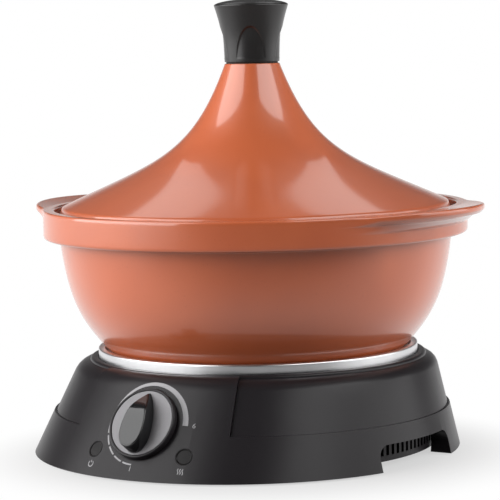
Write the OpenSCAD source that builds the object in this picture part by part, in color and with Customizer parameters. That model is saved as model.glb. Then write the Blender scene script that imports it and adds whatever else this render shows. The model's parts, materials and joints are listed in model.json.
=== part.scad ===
// Electric tagine: a glazed clay bowl and conical lid on a heated base with a control panel.
// Millimetres. +Z is up, the table is z = 0, the hot plate's axis is the Z axis and the panel faces -Y.

/* [Bowl] */
// Outer radius of the rim band
rim_r = 140; // [130:1:150]
// Height of the rim band
rim_band_h = 19; // [16:1:22]
// How far the body is set in under the rim band
rim_step = 10.5; // [8:0.5:13]
// Wall of the rim above the ledge that carries the lid
rim_wall = 7.5; // [6:0.5:9]
// Rounding of the rim's edges
rim_round = 2.5; // [1:0.5:3]
// Depth of the lid's ledge below the top of the rim
ledge_depth = 7; // [5:0.5:9]
// Height of the bowl from its foot to the top of the rim
bowl_h = 96; // [88:1:110]
// Wall of the bowl
bowl_wall = 8; // [6:0.5:10]
// Radius of the flat foot that stands on the hot plate
bowl_foot_r = 96.5; // [88:0.5:97]
// Chamfer round the foot
bowl_foot_edge = 2; // [1:0.5:3]
// How far the belly's curve runs outwards from the foot
belly_out = 18; // [16:0.5:24]
// How far the belly's curve runs upwards from the foot
belly_up = 20.5; // [16:0.5:26]
// Lean of the belly under the rim band
belly_lean = 5; // [2:0.5:8]
// Height over which the belly leans
belly_rise = 43; // [34:1:50]
// Reach of the tab handles beyond the rim band
handle_reach = 18.5; // [13:0.5:22]
// Half the length of a tab handle along the rim
handle_half_span = 72; // [62:1:80]
// Height of a tab handle where it leaves the rim band
handle_root_h = 11; // [9:0.5:13]
// Height of a tab handle at its tip
handle_tip_h = 6; // [4:0.5:7]
// Rise of a handle's tip above the rim
handle_sweep = 2; // [0:0.5:3]

/* [Lid] */
// Gap between the lid's edge and the rim
lid_gap = 3.5; // [2:0.5:5]
// Height of the lid's outside edge above its ledge
lid_edge_h = 4; // [3:0.5:5]
// Height of the curve's end above the edge
lid_edge_rise = 4; // [3:0.5:5]
// How far the rounded edge is drawn in
lid_edge_round = 1.5; // [1:0.5:2.5]
// Height of the lid from its ledge to the top of its neck
lid_h = 100; // [88:1:112]
// Wall of the lid
lid_wall = 7; // [5:0.5:9]
// Radius of the lid's neck under the knob
neck_r = 18; // [15:0.5:21]
// Solid height of the neck above the hollow
neck_t = 12; // [9:0.5:16]
// How far the neck's curve runs down
neck_drop = 60; // [50:1:66]
// How far the neck's curve runs out
neck_flare = 23; // [18:1:28]
// How far the edge's curve runs in towards the neck
brim_run = 64; // [54:1:70]
// How far the edge's curve rises towards the neck
brim_rise = 29; // [24:1:34]
// Depth of the ring that locates the lid in the bowl
spigot_h = 5; // [3:0.5:7]
// Width of that ring
spigot_w = 6; // [4:0.5:8]
// Radial play of that ring in the bowl
spigot_gap = 1; // [0.6:0.1:1.6]

/* [Lid knob] */
// Height of the lid's knob
lid_knob_h = 41.2; // [34:0.2:48]
// Radius of the knob's flared top
lid_knob_top_r = 24.4; // [22:0.2:28]
// Rise of the domed top
lid_knob_dome = 4.2; // [2.6:0.2:5]
// Number of arch-shaped finger flats
flat_count = 4; // [3:1:5]
// Width of a finger flat
flat_w = 18.4; // [12:0.2:19]
// Height of a finger flat
flat_h = 20.4; // [16:0.2:26]
// Height at which a finger flat starts
flat_base = 2.6; // [2:0.2:5]
// Depth of a finger flat at the top of its arch
flat_depth = 1; // [0.5:0.1:1.4]
// Turn of the first finger flat from the panel's side
flat_turn = 29; // [0:1:89]
// Thickness of the gasket under the knob
knob_gasket_t = 1; // [0.6:0.1:1.5]
// Radius of the screw that holds the knob
lid_screw_r = 2; // [1.5:0.1:2.5]
// Radius of the screw's head
lid_screw_head_r = 4; // [3.5:0.1:5]
// Height of the screw's head
lid_screw_head_h = 2.8; // [2:0.1:3.5]
// Depth to which the screw enters the knob
lid_screw_grip = 14; // [10:0.5:18]
// Wall of the knob's brass insert
insert_wall = 2; // [1.5:0.1:2.5]
// Radius of the washer under the screw's head
lid_washer_r = 7.5; // [6:0.1:9]
// Thickness of that washer
lid_washer_t = 1; // [0.6:0.1:1.5]

/* [Hot plate] */
// Outer radius of the hot plate
plate_r = 105.8; // [103:0.1:108]
// Thickness of the plate's floor
plate_t = 6; // [5:0.5:7]
// Width of the plate's lip
lip_w = 4.3; // [3.5:0.1:6]
// Height of the lip above the floor
lip_h = 3.9; // [2:0.1:4.5]
// Height of the lip above the base's bead
plate_reveal = 5.9; // [4:0.1:6.5]
// Rounding of the lip's outer edge
lip_round = 1.2; // [0.8:0.1:3]
// Radius of the studs that hold the plate
stud_r = 2; // [1.5:0.1:2.5]
// Number of studs
stud_count = 3; // [3:1:6]
// Radius of the plate's centre stud
centre_stud_r = 3; // [2.5:0.1:3.5]
// Radius of the boss round the centre stud
centre_boss_r = 7; // [6:0.5:9]
// Thickness of the gasket under the plate
plate_gasket_t = 1.5; // [1:0.1:2]

/* [Heater] */
// Radius of the heating element's ring
element_ring_r = 66; // [58:1:70]
// Radius of the element's tube
element_r = 3.3; // [3:0.1:4]
// Gap in the element's ring, in degrees
element_gap_deg = 40; // [30:1:60]
// Thickness of the plate that clamps the element
clamp_t = 1.4; // [1:0.1:2]
// How far that plate reaches past the element
clamp_margin = 5; // [3:0.5:7]
// Depth of the heat shield
shield_depth = 15; // [13:0.5:17]
// Sheet thickness of the heat shield
shield_t = 1; // [0.8:0.1:1.4]
// Thickness of the insulation in the shield
insulation_t = 5; // [4:0.5:6]
// Radius of the thermostat's bulb
bulb_r = 2.5; // [2:0.1:3]
// Length of the thermostat's bulb
bulb_l = 56; // [46:1:60]

/* [Base] */
// Height of the base up to the bead round the plate
base_h = 61; // [59:0.5:65]
// Radius of the base's outline on the table
foot_r = 140.4; // [138:0.2:146]
// Radius to which the outline narrows at the top
crown_r = 118.6; // [116:0.2:121]
// How far the foot's outline lies in front of the plate's axis
base_shift = 16; // [12:0.5:18]
// Height of the seam between skirt and cover
seam_z = 27.3; // [26:0.1:30]
// Gap between the skirt and the table
skirt_gap = 1; // [0.5:0.1:2]
// Wall of the skirt and the panel
shell_wall = 3.4; // [3:0.1:4]
// Wall of the top cover
cover_wall = 2.8; // [2.4:0.1:3.2]
// How far the cover lies inside the skirt's outline
cover_inset = 1.6; // [1.4:0.1:2]
// Depth of the lap under the seam
lap_h = 4; // [3:0.1:5]
// Gap between the mouldings of the base
fit_gap = 0.3; // [0.2:0.05:0.5]
// Height of the rounded shoulder
shoulder_h = 8; // [5:0.5:9]
// Width of the bead round the plate
bead_w = 5; // [4:0.1:6]
// Height of the bead above the panel's shoulder
bead_h = 0.2; // [0:0.1:1]
// Gap round the plate
plate_gap = 0.6; // [0.4:0.1:1]
// Width of the ledge under the plate
seat_w = 14; // [12:0.5:16]
// Thickness of that ledge
seat_t = 2.5; // [2:0.1:3]
// Half the angle of the control panel
panel_half_deg = 25.5; // [24:0.5:30]
// Half the width of a side arch
arch_half_w = 38.5; // [34:0.5:42]
// Place of the arches' middle, counted back from the middle of the skirt
arch_y = -13; // [-18:0.5:-8]
// Height of a side arch above the table
arch_h = 16.5; // [14:0.5:17.5]
// Corner radius of a side arch
arch_round = 8; // [5:0.5:10]
// Thickness of the walls that reach in from an arch to the pan
tunnel_wall = 2.5; // [2:0.1:3]
// Gap between those walls and the pan
tunnel_gap = 0.8; // [0.6:0.1:2]

/* [Bottom pan] */
// Height of the pan above the table, which is the height of the feet
pan_z = 4; // [3:0.5:5]
// Gap between the pan's wall and the skirt's outline, at the pan's height
pan_gap = 14.4; // [13:0.2:16]
// Thickness of the pan
pan_t = 2.5; // [2:0.1:3]
// Height of the pan's low edge
pan_edge_h = 4; // [3:0.5:5]
// Half the angle of a vent grille
vent_half_deg = 35; // [28:1:36]
// Height of the vent grilles
vent_h = 14; // [13:0.5:14.5]
// Pitch of the vent slots
vent_pitch = 5; // [4:0.5:7]
// Width of a vent slot
vent_slot = 2.6; // [2:0.1:3]
// Radius at which the case screws lie
post_ring_r = 112; // [110:0.5:113]
// Radius of the posts that take the case screws
post_r = 5; // [4.5:0.1:5.5]
// Radius of a case screw
case_screw_r = 1.75; // [1.5:0.05:2]
// Radius of a case screw's head
case_head_r = 3.4; // [3:0.1:3.8]
// Height of a case screw's head
case_head_h = 2.2; // [1.8:0.1:2.6]
// How far a case screw enters its post
case_screw_grip = 10; // [8:0.5:13]
// Height of the lugs that are clamped between pan and cover
lug_z = 17.7; // [17.5:0.1:18.5]
// Thickness of the lugs
lug_t = 2.5; // [2:0.1:3]
// Radius at which the feet lie
feet_ring_r = 94; // [88:1:97]
// Radius of a foot
rubber_foot_r = 9; // [7:0.5:11]

/* [Control knob] */
// Height of the knob's axis on the panel
knob_z = 32.6; // [31:0.2:34]
// Radius of the knob's dial
knob_r = 23.2; // [20:0.2:24]
// Height of the dial above the panel
knob_h = 3.6; // [3.4:0.1:5]
// Gap between the dial and the panel
knob_lift = 0.8; // [0.5:0.1:1.2]
// Width of the black rim round the silver face
knob_rim_w = 1.8; // [1:0.1:2.2]
// Thickness of the silver face
knob_face_t = 0.6; // [0.4:0.1:0.8]
// Height of the grip above the dial
grip_h = 9.6; // [8:0.2:11]
// Height of the grip's pointed tip above the knob's face
grip_tip_h = 1.2; // [0.8:0.1:2]
// Place along the grip where its top starts to slope down to the tip
grip_crest = 7; // [5:0.5:9]
// Half the width of the grip
grip_half_w = 8.6; // [7.5:0.1:9.5]
// Distance from the knob's edge to the ends of the grip
grip_margin = 1; // [0.6:0.1:2]
// Depth of the flat well behind the knob
well_depth = 1; // [0.8:0.1:1.2]
// Radius of the spindle
spindle_r = 3; // [2.8:0.1:3.2]
// Running clearance of the spindle in its bush
spindle_clear = 0.05; // [0.03:0.01:0.08]
// Radius of the threaded bush
bush_r = 5; // [4.8:0.1:5.5]
// Thickness of the bush's nut
bush_nut_t = 2; // [1.6:0.1:2.2]
// Width of the bush's nut across its flats
bush_nut_af = 14; // [12.5:0.5:15]

/* [Thermostat and lamps] */
// Half the width of the thermostat
thermostat_half_w = 12; // [11:0.5:13]
// Half the height of the thermostat
thermostat_half_h = 10; // [9:0.5:10.5]
// Depth of the thermostat's case
thermostat_d = 14; // [13:0.5:15]
// Wall of the thermostat's case
thermostat_wall = 1.5; // [1.2:0.1:1.8]
// Thickness of the thermostat's base
thermostat_base_t = 2.5; // [2:0.1:3]
// Radius of the adjusting pin
pin_r = 1.2; // [1:0.1:1.4]
// Angle of the lamps from the middle of the panel
lamp_deg = 14.1; // [13:0.1:15]
// Height of the lamps on the panel
lamp_z = 16; // [15:0.1:17]
// Radius of a lamp's lens
lens_r = 5.3; // [4.5:0.1:5.8]
// Radial play of a lens in the panel
lens_gap = 0.2; // [0.1:0.05:0.3]
// Radius of a lamp's tube
lamp_r = 3.2; // [2.8:0.1:3.6]
// Length of a lamp's tube behind its flange
lamp_l = 5; // [4:0.5:6]

/* [Mains inlet] */
// Height of the cord gland at the back
gland_z = 15.5; // [15:0.1:17]
// Radius of the gland's flange
gland_flange_r = 7.5; // [6.5:0.1:7.5]
// Radius of the gland's body
gland_r = 5.8; // [5.2:0.1:6]
// Radius of the gland's bore
gland_bore_r = 3.6; // [3:0.1:4]
// Half the length of the terminal block
block_half_l = 20; // [19:0.5:24]
// Width of the terminal block
block_w = 16; // [14:0.5:18]
// Height of the terminal block
block_h = 13; // [12:0.5:14]
// Distance of the terminal block behind the plate's axis
block_y = 62; // [58:0.5:64]
// Radius of the internal wires
wire_r = 1.2; // [1:0.1:1.4]

/* [Hidden] */
$fn = 96;
curve_steps = 14;
round_steps = 5;
over = 1;
play = 0.1;
plain_hole_play = 0.3;

// Levels, from the table upwards
lip_top_z = base_h + plate_reveal;
plate_z = lip_top_z - lip_h;
plate_under_z = plate_z - plate_t;
seat_z = plate_under_z - plate_gasket_t;
seat_under_z = seat_z - seat_t;
rim_top_z = plate_z + bowl_h;
rim_low_z = rim_top_z - rim_band_h;
ledge_z = rim_top_z - ledge_depth;
neck_z = ledge_z + lid_h;
lid_knob_z = neck_z + knob_gasket_t;
shoulder_top_z = base_h - bead_h;
pan_floor_z = pan_z + pan_t;
pan_r = outline_r(pan_z) - pan_gap;

// Radii of the bowl and the lid
body_top_r = rim_r - rim_step;
bowl_bore_r = body_top_r - bowl_wall;
rim_in_r = rim_r - rim_wall;
lid_r = rim_in_r - lid_gap;
spigot_r = bowl_bore_r - spigot_gap;
lid_hole_r = lid_screw_r + 1.5;
insert_r = lid_screw_r + insert_wall;
lid_knob_lift = lid_knob_h - lid_knob_dome;
lid_knob_swell = 1.2;
swell_low = 0.4;
swell_high = 0.57;
washer_z = neck_z - neck_t;

// Handles: an arc through both roots and the tip
handle_tip = rim_r + handle_reach;
handle_root_x = sqrt(rim_r * rim_r - handle_half_span * handle_half_span);
handle_centre_x = (handle_tip * handle_tip - rim_r * rim_r) / (2 * (handle_tip - handle_root_x));
handle_arc_r = handle_tip - handle_centre_x;

// Base outline
collar_in_r = plate_r + plate_gap;
collar_r = collar_in_r + bead_w;
seat_in_r = collar_in_r - seat_w;
lap_t = cover_inset - fit_gap;
lap_z = seam_z - lap_h;
shoulder_low_z = shoulder_top_z - shoulder_h;
post_angles = [45, 135, 225, 315];
lug_top_z = lug_z + lug_t;
post_top_z = seat_z - seat_t / 2;

// Heater stack
stud_ring_r = seat_in_r + seat_w / 4;
shield_margin = 3.5;
shield_flange_r = stud_ring_r + shield_margin;
shield_wall_r = seat_in_r - 2;
shield_top_z = seat_under_z;
shield_low_z = shield_top_z - shield_depth;
nut_t = 3.2;
element_z = plate_under_z - element_r - play;
clamp_z = element_z - element_r - play - clamp_t;
clamp_r = element_ring_r + element_r + clamp_margin;
clamp_nut_t = 3.5;
element_pin_l = 8;
element_end_z = shield_low_z - element_pin_l;
element_pin = [element_ring_r * sin(element_gap_deg / 2), -element_ring_r * cos(element_gap_deg / 2)];
element_pin_r = element_r + 0.9;
pin_bush_r = element_pin_r + 2.3;
pin_bush_h = 2.5;
bulb_y = -(clamp_r + shield_wall_r) / 2;
bulb_z = plate_under_z - bulb_r - play;

// Panel-mounted pieces, measured along the panel's normal
panel_t = shell_wall * cos(slope_at(0));
bush_flange_t = 1.2;
bush_flange_r = bush_r + 2;
bush_low = -panel_t - fit_gap - bush_flange_t;
bush_stand = 0.4;
bush_top = -well_depth + bush_nut_t + bush_stand;
case_low = bush_low - thermostat_d;
base_low = case_low - thermostat_base_t;
spindle_low = bush_low - 5;
grip_roof = 3.5;
grip_belly = 0.35;
spindle_top = knob_h + grip_h - grip_roof;
flat_at = spindle_r * 0.75;
knob_cavity_r = bush_nut_af / 2 / cos(30) + 1.2;
knob_cavity_h = bush_top + 0.5;
pin_low = spindle_low - 3;
pin_top = spindle_low + 4;
leaf_top = pin_low - 0.8;
leaf_t = 0.5;
terminal_x = 6;
terminal_l = 4;
lens_flange_t = 1;
lens_flange_r = lens_r + 1.4;
lens_bend = lens_flange_r * lens_flange_r / outline_r(lamp_z) / 2;
lens_under = -shell_wall * cos(slope_at(lamp_deg)) - lens_bend;
lens_top = -0.3;
lamp_low = lens_under - lens_flange_t - lamp_l;

// Mains pieces
gland_flange_t = 2.5;
gland_inner_l = 8;
pan_y = -shift_at(pan_z);
block_gap = 14;
block_front_y = block_y - block_w / 2;
block_wire_z = pan_floor_z + block_h * 0.6;
cord_clamp_y = block_y + block_w / 2 + block_gap;
cord_clamp_half_l = 14;
cord_clamp_w = 9;
cord_clamp_h = 2 * gland_bore_r + 5;
tie_screw_r = 1.5;
tie_head_r = 2.7;
tie_head_h = 1.8;
fuse_r = 2;
fuse_half_l = 7;
fuse_x = 42;
fuse_y = -8;
fuse_z = shield_low_z - fuse_r - play;
earth_x = -14;
earth_y = 18;
earth_screw_r = 1.5;
earth_head_h = 3;
earth_head_r = 3.5;

// Curves

// Cubic curve through four control points
function cubic(a, b, c, d, steps = curve_steps) = [for (i = [0:steps]) let (t = i / steps, s = 1 - t)
    s * s * s * a + 3 * s * s * t * b + 3 * s * t * t * c + t * t * t * d];

// Arc of a circle from angle a0 to angle a1
function arc(centre, r, a0, a1, steps = round_steps) =
    [for (i = [0:steps]) let (a = a0 + (a1 - a0) * i / steps) centre + r * [cos(a), sin(a)]];

function unit(v) = v / norm(v);

// The list without its first member
function rest(list) = [for (i = [1:len(list) - 1]) list[i]];

// The curve moved sideways, to the right of its run, by d
function beside(points, d) = [for (i = [0:len(points) - 1])
    let (a = points[max(i - 1, 0)], b = points[min(i + 1, len(points) - 1)], t = unit(b - a))
    points[i] + d * [t[1], -t[0]]];

// Base outline at a height, and the slope of its surface at an angle from the front
function outline_r(z) = foot_r - (foot_r - crown_r) * z / base_h;
function shift_at(z) = base_shift * (1 - z / base_h);
function slope_at(a) = atan((foot_r - crown_r + base_shift * cos(a)) / base_h);
function post_xy(a) = [post_ring_r * sin(a), -post_ring_r * cos(a) - shift_at(lug_z)];

// Common shapes

// The base stands on a circle that lies in front of the plate's axis
module lean() {
    slant = base_shift / base_h;
    multmatrix([[1, 0, 0, 0], [0, 1, slant, -base_shift], [0, 0, 1, 0], [0, 0, 0, 1]]) children();
}

// Solid form of the base, drawn in by inset, from low up to the shoulder
module base_form(inset, low) {
    from = [outline_r(shoulder_low_z) - inset, shoulder_low_z];
    to = [collar_r - 2 * inset, shoulder_top_z - inset];
    corner = [outline_r(shoulder_top_z) - inset, shoulder_top_z - inset];
    shoulder = cubic(from, (from + 2 * corner) / 3, (to + 2 * corner) / 3, to, round_steps);
    rotate_extrude() polygon(concat([[0, low], [outline_r(low) - inset, low]], shoulder, [[0, to[1]]]));
}

// Sector of the control panel, widened by gap on both sides
module panel_sector(gap = 0) {
    reach = 2 * foot_r;
    translate([0, gap / sin(panel_half_deg), -over])
        linear_extrude(base_h + 2 * over)
            polygon([[0, 0], [-reach * tan(panel_half_deg), -reach], [reach * tan(panel_half_deg), -reach]]);
}

// Place on the base's surface at an angle from the front, with +Z along the surface's normal
module on_base(a, z) {
    translate([outline_r(z) * sin(a), -outline_r(z) * cos(a) - shift_at(z), z])
        rotate([0, 0, a]) rotate([90 - slope_at(a), 0, 0]) children();
}

module ring(outer, inner, low, high) {
    difference() {
        translate([0, 0, low]) cylinder(r = outer, h = high - low);
        translate([0, 0, low - over]) cylinder(r = inner, h = high - low + 2 * over);
    }
}

module rod(r, low, high) {
    translate([0, 0, low]) cylinder(r = r, h = high - low);
}

// Hexagon nut with a plain bore
module hex_nut(af, bore, low, high) {
    difference() {
        translate([0, 0, low]) cylinder(r = af / 2 / cos(30), h = high - low, $fn = 6);
        rod(bore, low - over, high + over);
    }
}

// Screw with a domed head, whose head sits under seat and whose shank points up
module screw_up(r, head_r, head_h, seat, shank) {
    translate([0, 0, seat]) rotate_extrude()
        polygon(concat([[0, shank], [0, -head_h]], cubic([0, -head_h], [head_r / 2, -head_h],
            [head_r, -head_h / 2], [head_r, 0], round_steps), [[r, 0], [r, shank - r / 2], [r / 2, shank]]));
}

module at_posts() {
    for (a = post_angles) translate(post_xy(a)) children();
}

// Arched outline, standing on the line y = 0
module arch_2d(half_w, h, r) {
    translate([-half_w, -over]) square([2 * half_w, h - r + over]);
    translate([r - half_w, 0]) square([2 * (half_w - r), h]);
    for (side = [-1, 1]) translate([side * (half_w - r), h - r]) circle(r);
}

// Tube along a list of points
function tangent(p, i) = unit(p[min(i + 1, len(p) - 1)] - p[max(i - 1, 0)]);
function across(t) = unit(cross(t, abs(t[2]) > 0.9 ? [1, 0, 0] : [0, 0, 1]));
function tube_ring(p, i, r, sides) = let (t = tangent(p, i), u = across(t), v = cross(t, u))
    [for (k = [0:sides - 1]) p[i] + r * (cos(360 * k / sides) * u + sin(360 * k / sides) * v)];
module tube(p, r, sides = 8) {
    rings = [for (i = [0:len(p) - 1]) each tube_ring(p, i, r, sides)];
    n = len(p);
    walls = [for (i = [0:n - 2], k = [0:sides - 1]) let (a = i * sides + k, b = i * sides + (k + 1) % sides)
        each [[a, b, b + sides], [a, b + sides, a + sides]]];
    ends = [[for (k = [0:sides - 1]) sides - 1 - k], [for (k = [0:sides - 1]) (n - 1) * sides + k]];
    polyhedron(rings, concat(walls, ends));
}

// Smooth run from one end to the other, leaving each end along its given direction, just clear of its seat
function run(from, leave, to, arrive, steps = 9) =
    let (start = from + wire_gap * unit(leave), finish = to + wire_gap * unit(arrive))
    cubic(start, start + leave, finish + arrive, finish, steps);

// Lid

lid_outer = cubic([neck_r, neck_z], [neck_r + neck_flare, neck_z - neck_drop],
    [lid_r - lid_edge_round - brim_run, ledge_z + lid_edge_h + lid_edge_rise + brim_rise],
    [lid_r - lid_edge_round, ledge_z + lid_edge_h + lid_edge_rise], 2 * curve_steps);

module lid() {
    color("#b5623f") difference() {
        rotate_extrude() polygon(concat([[0, neck_z]], lid_outer, [[lid_r, ledge_z + lid_edge_h],
            [lid_r, ledge_z], [spigot_r, ledge_z], [spigot_r, ledge_z - spigot_h],
            [0, ledge_z - spigot_h]]));
        intersection() {
            rotate_extrude() polygon(concat([[0, neck_z]], lid_hollow(),
                [[spigot_r - spigot_w, ledge_z - 2 * spigot_h], [0, ledge_z - 2 * spigot_h]]));
            rod(2 * lid_r, 0, washer_z);
        }
        rod(lid_hole_r, washer_z - over, neck_z + over);
    }
}

// Inside curve of the lid, kept within the locating ring
function lid_hollow() = [for (p = beside(lid_outer, lid_wall))
    if (p[0] < spigot_r - spigot_w) p];

// Form of the lid's knob, drawn in by nothing at its foot and by inset at its top
module knob_form(inset) {
    low = lid_knob_z;
    high = low + lid_knob_lift;
    top_r = lid_knob_top_r - inset;
    waist_r = neck_r + lid_knob_swell;
    flare = cubic([neck_r, low], [waist_r - swell_low * inset, low + swell_low * lid_knob_lift],
        [waist_r - swell_high * inset, low + swell_high * lid_knob_lift], [top_r, high]);
    dome = cubic([top_r, high], [top_r, high + lid_knob_dome / 2],
        [lid_knob_top_r / 2, high + lid_knob_dome], [0, high + lid_knob_dome]);
    rotate_extrude() polygon(concat([[0, low]], flare, rest(dome)));
}

// Half ellipse that stands on a line, the outline of a finger flat
module flat_2d() {
    steps = 2 * curve_steps;
    polygon([for (i = [0:steps]) let (a = 180 * i / steps)
        [flat_w / 2 * cos(a), flat_base + flat_h * sin(a)]]);
}

module lid_knob() {
    color("#1d1c1d") difference() {
        knob_form(0);
        difference() {
            for (i = [0:flat_count - 1]) rotate([0, 0, flat_turn + 360 * i / flat_count])
                translate([0, 0, lid_knob_z]) rotate([90, 0, 0]) linear_extrude(2 * lid_knob_top_r) flat_2d();
            knob_form(flat_depth * lid_knob_lift / (flat_base + flat_h));
        }
        rod(insert_r, lid_knob_z - over, lid_knob_z + lid_screw_grip + over);
    }
}

module knob_gasket() {
    color("#2b2a2a") ring(neck_r - 1, lid_hole_r, neck_z, lid_knob_z);
}

module knob_insert() {
    color("#b99a4f") ring(insert_r, lid_screw_r, lid_knob_z, lid_knob_z + lid_screw_grip + over);
}

module lid_screw() {
    color("#a8a8a8") screw_up(lid_screw_r, lid_screw_head_r, lid_screw_head_h, washer_z - lid_washer_t,
        lid_washer_t + neck_t + knob_gasket_t + lid_screw_grip);
}

module lid_washer() {
    color("#b8b8b8") ring(lid_washer_r, lid_screw_r + play, washer_z - lid_washer_t, washer_z);
}

// Bowl

foot_point = [bowl_foot_r + bowl_foot_edge, plate_z + bowl_foot_edge];
belly = cubic(foot_point, foot_point + [belly_out, belly_up],
    [body_top_r - belly_lean, rim_low_z - belly_rise], [body_top_r, rim_low_z], 2 * curve_steps);
bowl_hollow = [for (p = beside(belly, -bowl_wall)) if (p[1] > plate_z + bowl_wall) p];

module bowl() {
    out_low = [rim_r - rim_round, rim_low_z + rim_round];
    out_high = [rim_r - rim_round, rim_top_z - rim_round];
    in_high = [rim_in_r + rim_round, rim_top_z - rim_round];
    color("#b5623f") difference() {
        union() {
            rotate_extrude() polygon(concat([[0, plate_z], [bowl_foot_r, plate_z]], belly,
                arc(out_low, rim_round, -90, 0), arc(out_high, rim_round, 0, 90), [[0, rim_top_z]]));
            for (side = [0, 180]) rotate([0, 0, side]) tab_handle();
        }
        rotate_extrude() polygon(concat([[0, plate_z + bowl_wall]], bowl_hollow, [[bowl_bore_r, ledge_z],
            [rim_in_r, ledge_z]], arc(in_high, rim_round, 180, 90), [[in_high[0], rim_top_z + over],
            [0, rim_top_z + over]]));
    }
}

// Crescent-shaped tab that sweeps up from the top of the rim and is scooped out underneath
module tab_handle() {
    tip_round = handle_tip_h / 2.5;
    root = [handle_arc_r - handle_reach - rim_round, rim_top_z - handle_root_h];
    tip_z = rim_top_z + handle_sweep;
    tip_low = [handle_arc_r - tip_round, tip_z - handle_tip_h];
    scoop = cubic(root, root + [handle_reach * 0.4, 0.2 * handle_root_h],
        tip_low - [handle_reach * 0.4, 0.5], tip_low, round_steps);
    difference() {
        translate([handle_centre_x, 0, 0]) rotate_extrude()
            polygon(concat([[root[0], rim_top_z]], scoop,
                arc([handle_arc_r - tip_round, tip_z - tip_round], tip_round, 0, 90)));
        rod(rim_r - rim_round, 0, 2 * rim_top_z);
    }
}

// Shells of the base

module lower_housing() {
    color("#2a2b2e") difference() {
        union() {
            skirt();
            arch_tunnels();
            intersection() {
                for (a = post_angles) translate(post_xy(a)) rotate([0, 0, a]) lug();
                lean() base_form(shell_wall / 2, skirt_gap);
            }
        }
        rod(collar_r + fit_gap, seam_z, 2 * base_h);
        on_base(0, knob_z) rod(knob_r + over, -well_depth, knob_h);
        on_base(0, knob_z) rod(bush_r + plain_hole_play, -4 * panel_t, knob_h);
        for (side = [-1, 1]) on_base(side * lamp_deg, lamp_z)
            rod(lens_r + lens_gap, -4 * shell_wall, 2 * shell_wall);
        on_base(180, gland_z) rod(gland_r + play, -4 * shell_wall, 2 * shell_wall);
        at_posts() rod(case_screw_r + plain_hole_play, lug_z - over, lug_top_z + over);
    }
}

// Conical skirt with the panel standing on its front
module skirt() {
    lean() difference() {
        base_form(0, skirt_gap);
        base_form(shell_wall, skirt_gap - over);
        difference() {
            rod(2 * foot_r, seam_z, 2 * base_h);
            panel_sector();
        }
        difference() {
            base_form(lap_t, lap_z);
            panel_sector();
        }
        across() arch_2d(arch_half_w, arch_h, arch_round);
    }
}

// A shape drawn in the plane of the arches, carried from one side of the base to the other
module across() {
    rotate([90, 0, 90]) translate([arch_y, 0, -2 * foot_r]) linear_extrude(4 * foot_r) children();
}

// Walls round the side arches, reaching in to the pan
module arch_tunnels() {
    difference() {
        lean() intersection() {
            difference() {
                across() arch_2d(arch_half_w + tunnel_wall, arch_h + tunnel_wall, arch_round + tunnel_wall);
                across() arch_2d(arch_half_w, arch_h, arch_round);
            }
            base_form(shell_wall / 2, skirt_gap);
        }
        translate([0, pan_y, 0]) rod(pan_r + tunnel_gap, 0, base_h);
    }
}

// Lug under a post, reaching out into the wall of the skirt
module lug() {
    half_w = post_r + 2;
    rod(half_w, lug_z, lug_top_z);
    translate([-half_w, post_ring_r - foot_r - base_shift, lug_z])
        cube([2 * half_w, foot_r + base_shift - post_ring_r, lug_t]);
}

module top_cover() {
    color("#26272a") difference() {
        union() {
            difference() {
                lean() difference() {
                    base_form(cover_inset, lap_z);
                    base_form(cover_inset + cover_wall, lap_z - over);
                    panel_sector(fit_gap);
                }
                rod(collar_r - over, lap_z, 2 * base_h);
            }
            plate_collar();
            intersection() {
                at_posts() rod(post_r, lug_top_z, post_top_z);
                lean() base_form(cover_inset + cover_wall / 2, lap_z - lap_h);
            }
        }
        at_posts() rod(case_screw_r, lug_top_z - over, lug_top_z + case_screw_grip + over);
        at_studs() rod(stud_r + plain_hole_play, seat_under_z - over, seat_z + over);
    }
}

// Bead round the hot plate and the ledge that carries it
module plate_collar() {
    bead_round = bead_w / 2.5;
    rotate_extrude() polygon(concat([[seat_in_r, seat_under_z], [collar_r, seat_under_z]],
        arc([collar_r - bead_round, base_h - bead_round], bead_round, 0, 90),
        [[collar_in_r, base_h], [collar_in_r, seat_z], [seat_in_r, seat_z]]));
}

module at_studs() {
    for (i = [0:stud_count - 1]) rotate([0, 0, 360 * (i + 0.5) / stud_count])
        translate([0, stud_ring_r, 0]) children();
}

module at_feet() {
    for (a = post_angles) translate([feet_ring_r * sin(a), pan_y - feet_ring_r * cos(a), 0]) children();
}

foot_stem_r = 2.6;
foot_head_r = 3.6;

// Tray whose wall stands high at the two vent grilles and low between them
module pan_tray() {
    top_z = pan_z + vent_h;
    reach = 3 * pan_r;
    difference() {
        rotate_extrude() polygon([[0, pan_z], [pan_r, pan_z], [pan_r, top_z], [pan_r - pan_t, top_z],
            [pan_r - pan_t, pan_floor_z], [0, pan_floor_z]]);
        for (side = [-1, 1]) translate([0, 0, pan_z + pan_edge_h]) linear_extrude(vent_h)
            polygon([[0, 0], side * reach * [cos(vent_half_deg), sin(vent_half_deg)],
                side * reach * [-cos(vent_half_deg), sin(vent_half_deg)]]);
    }
}

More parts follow.
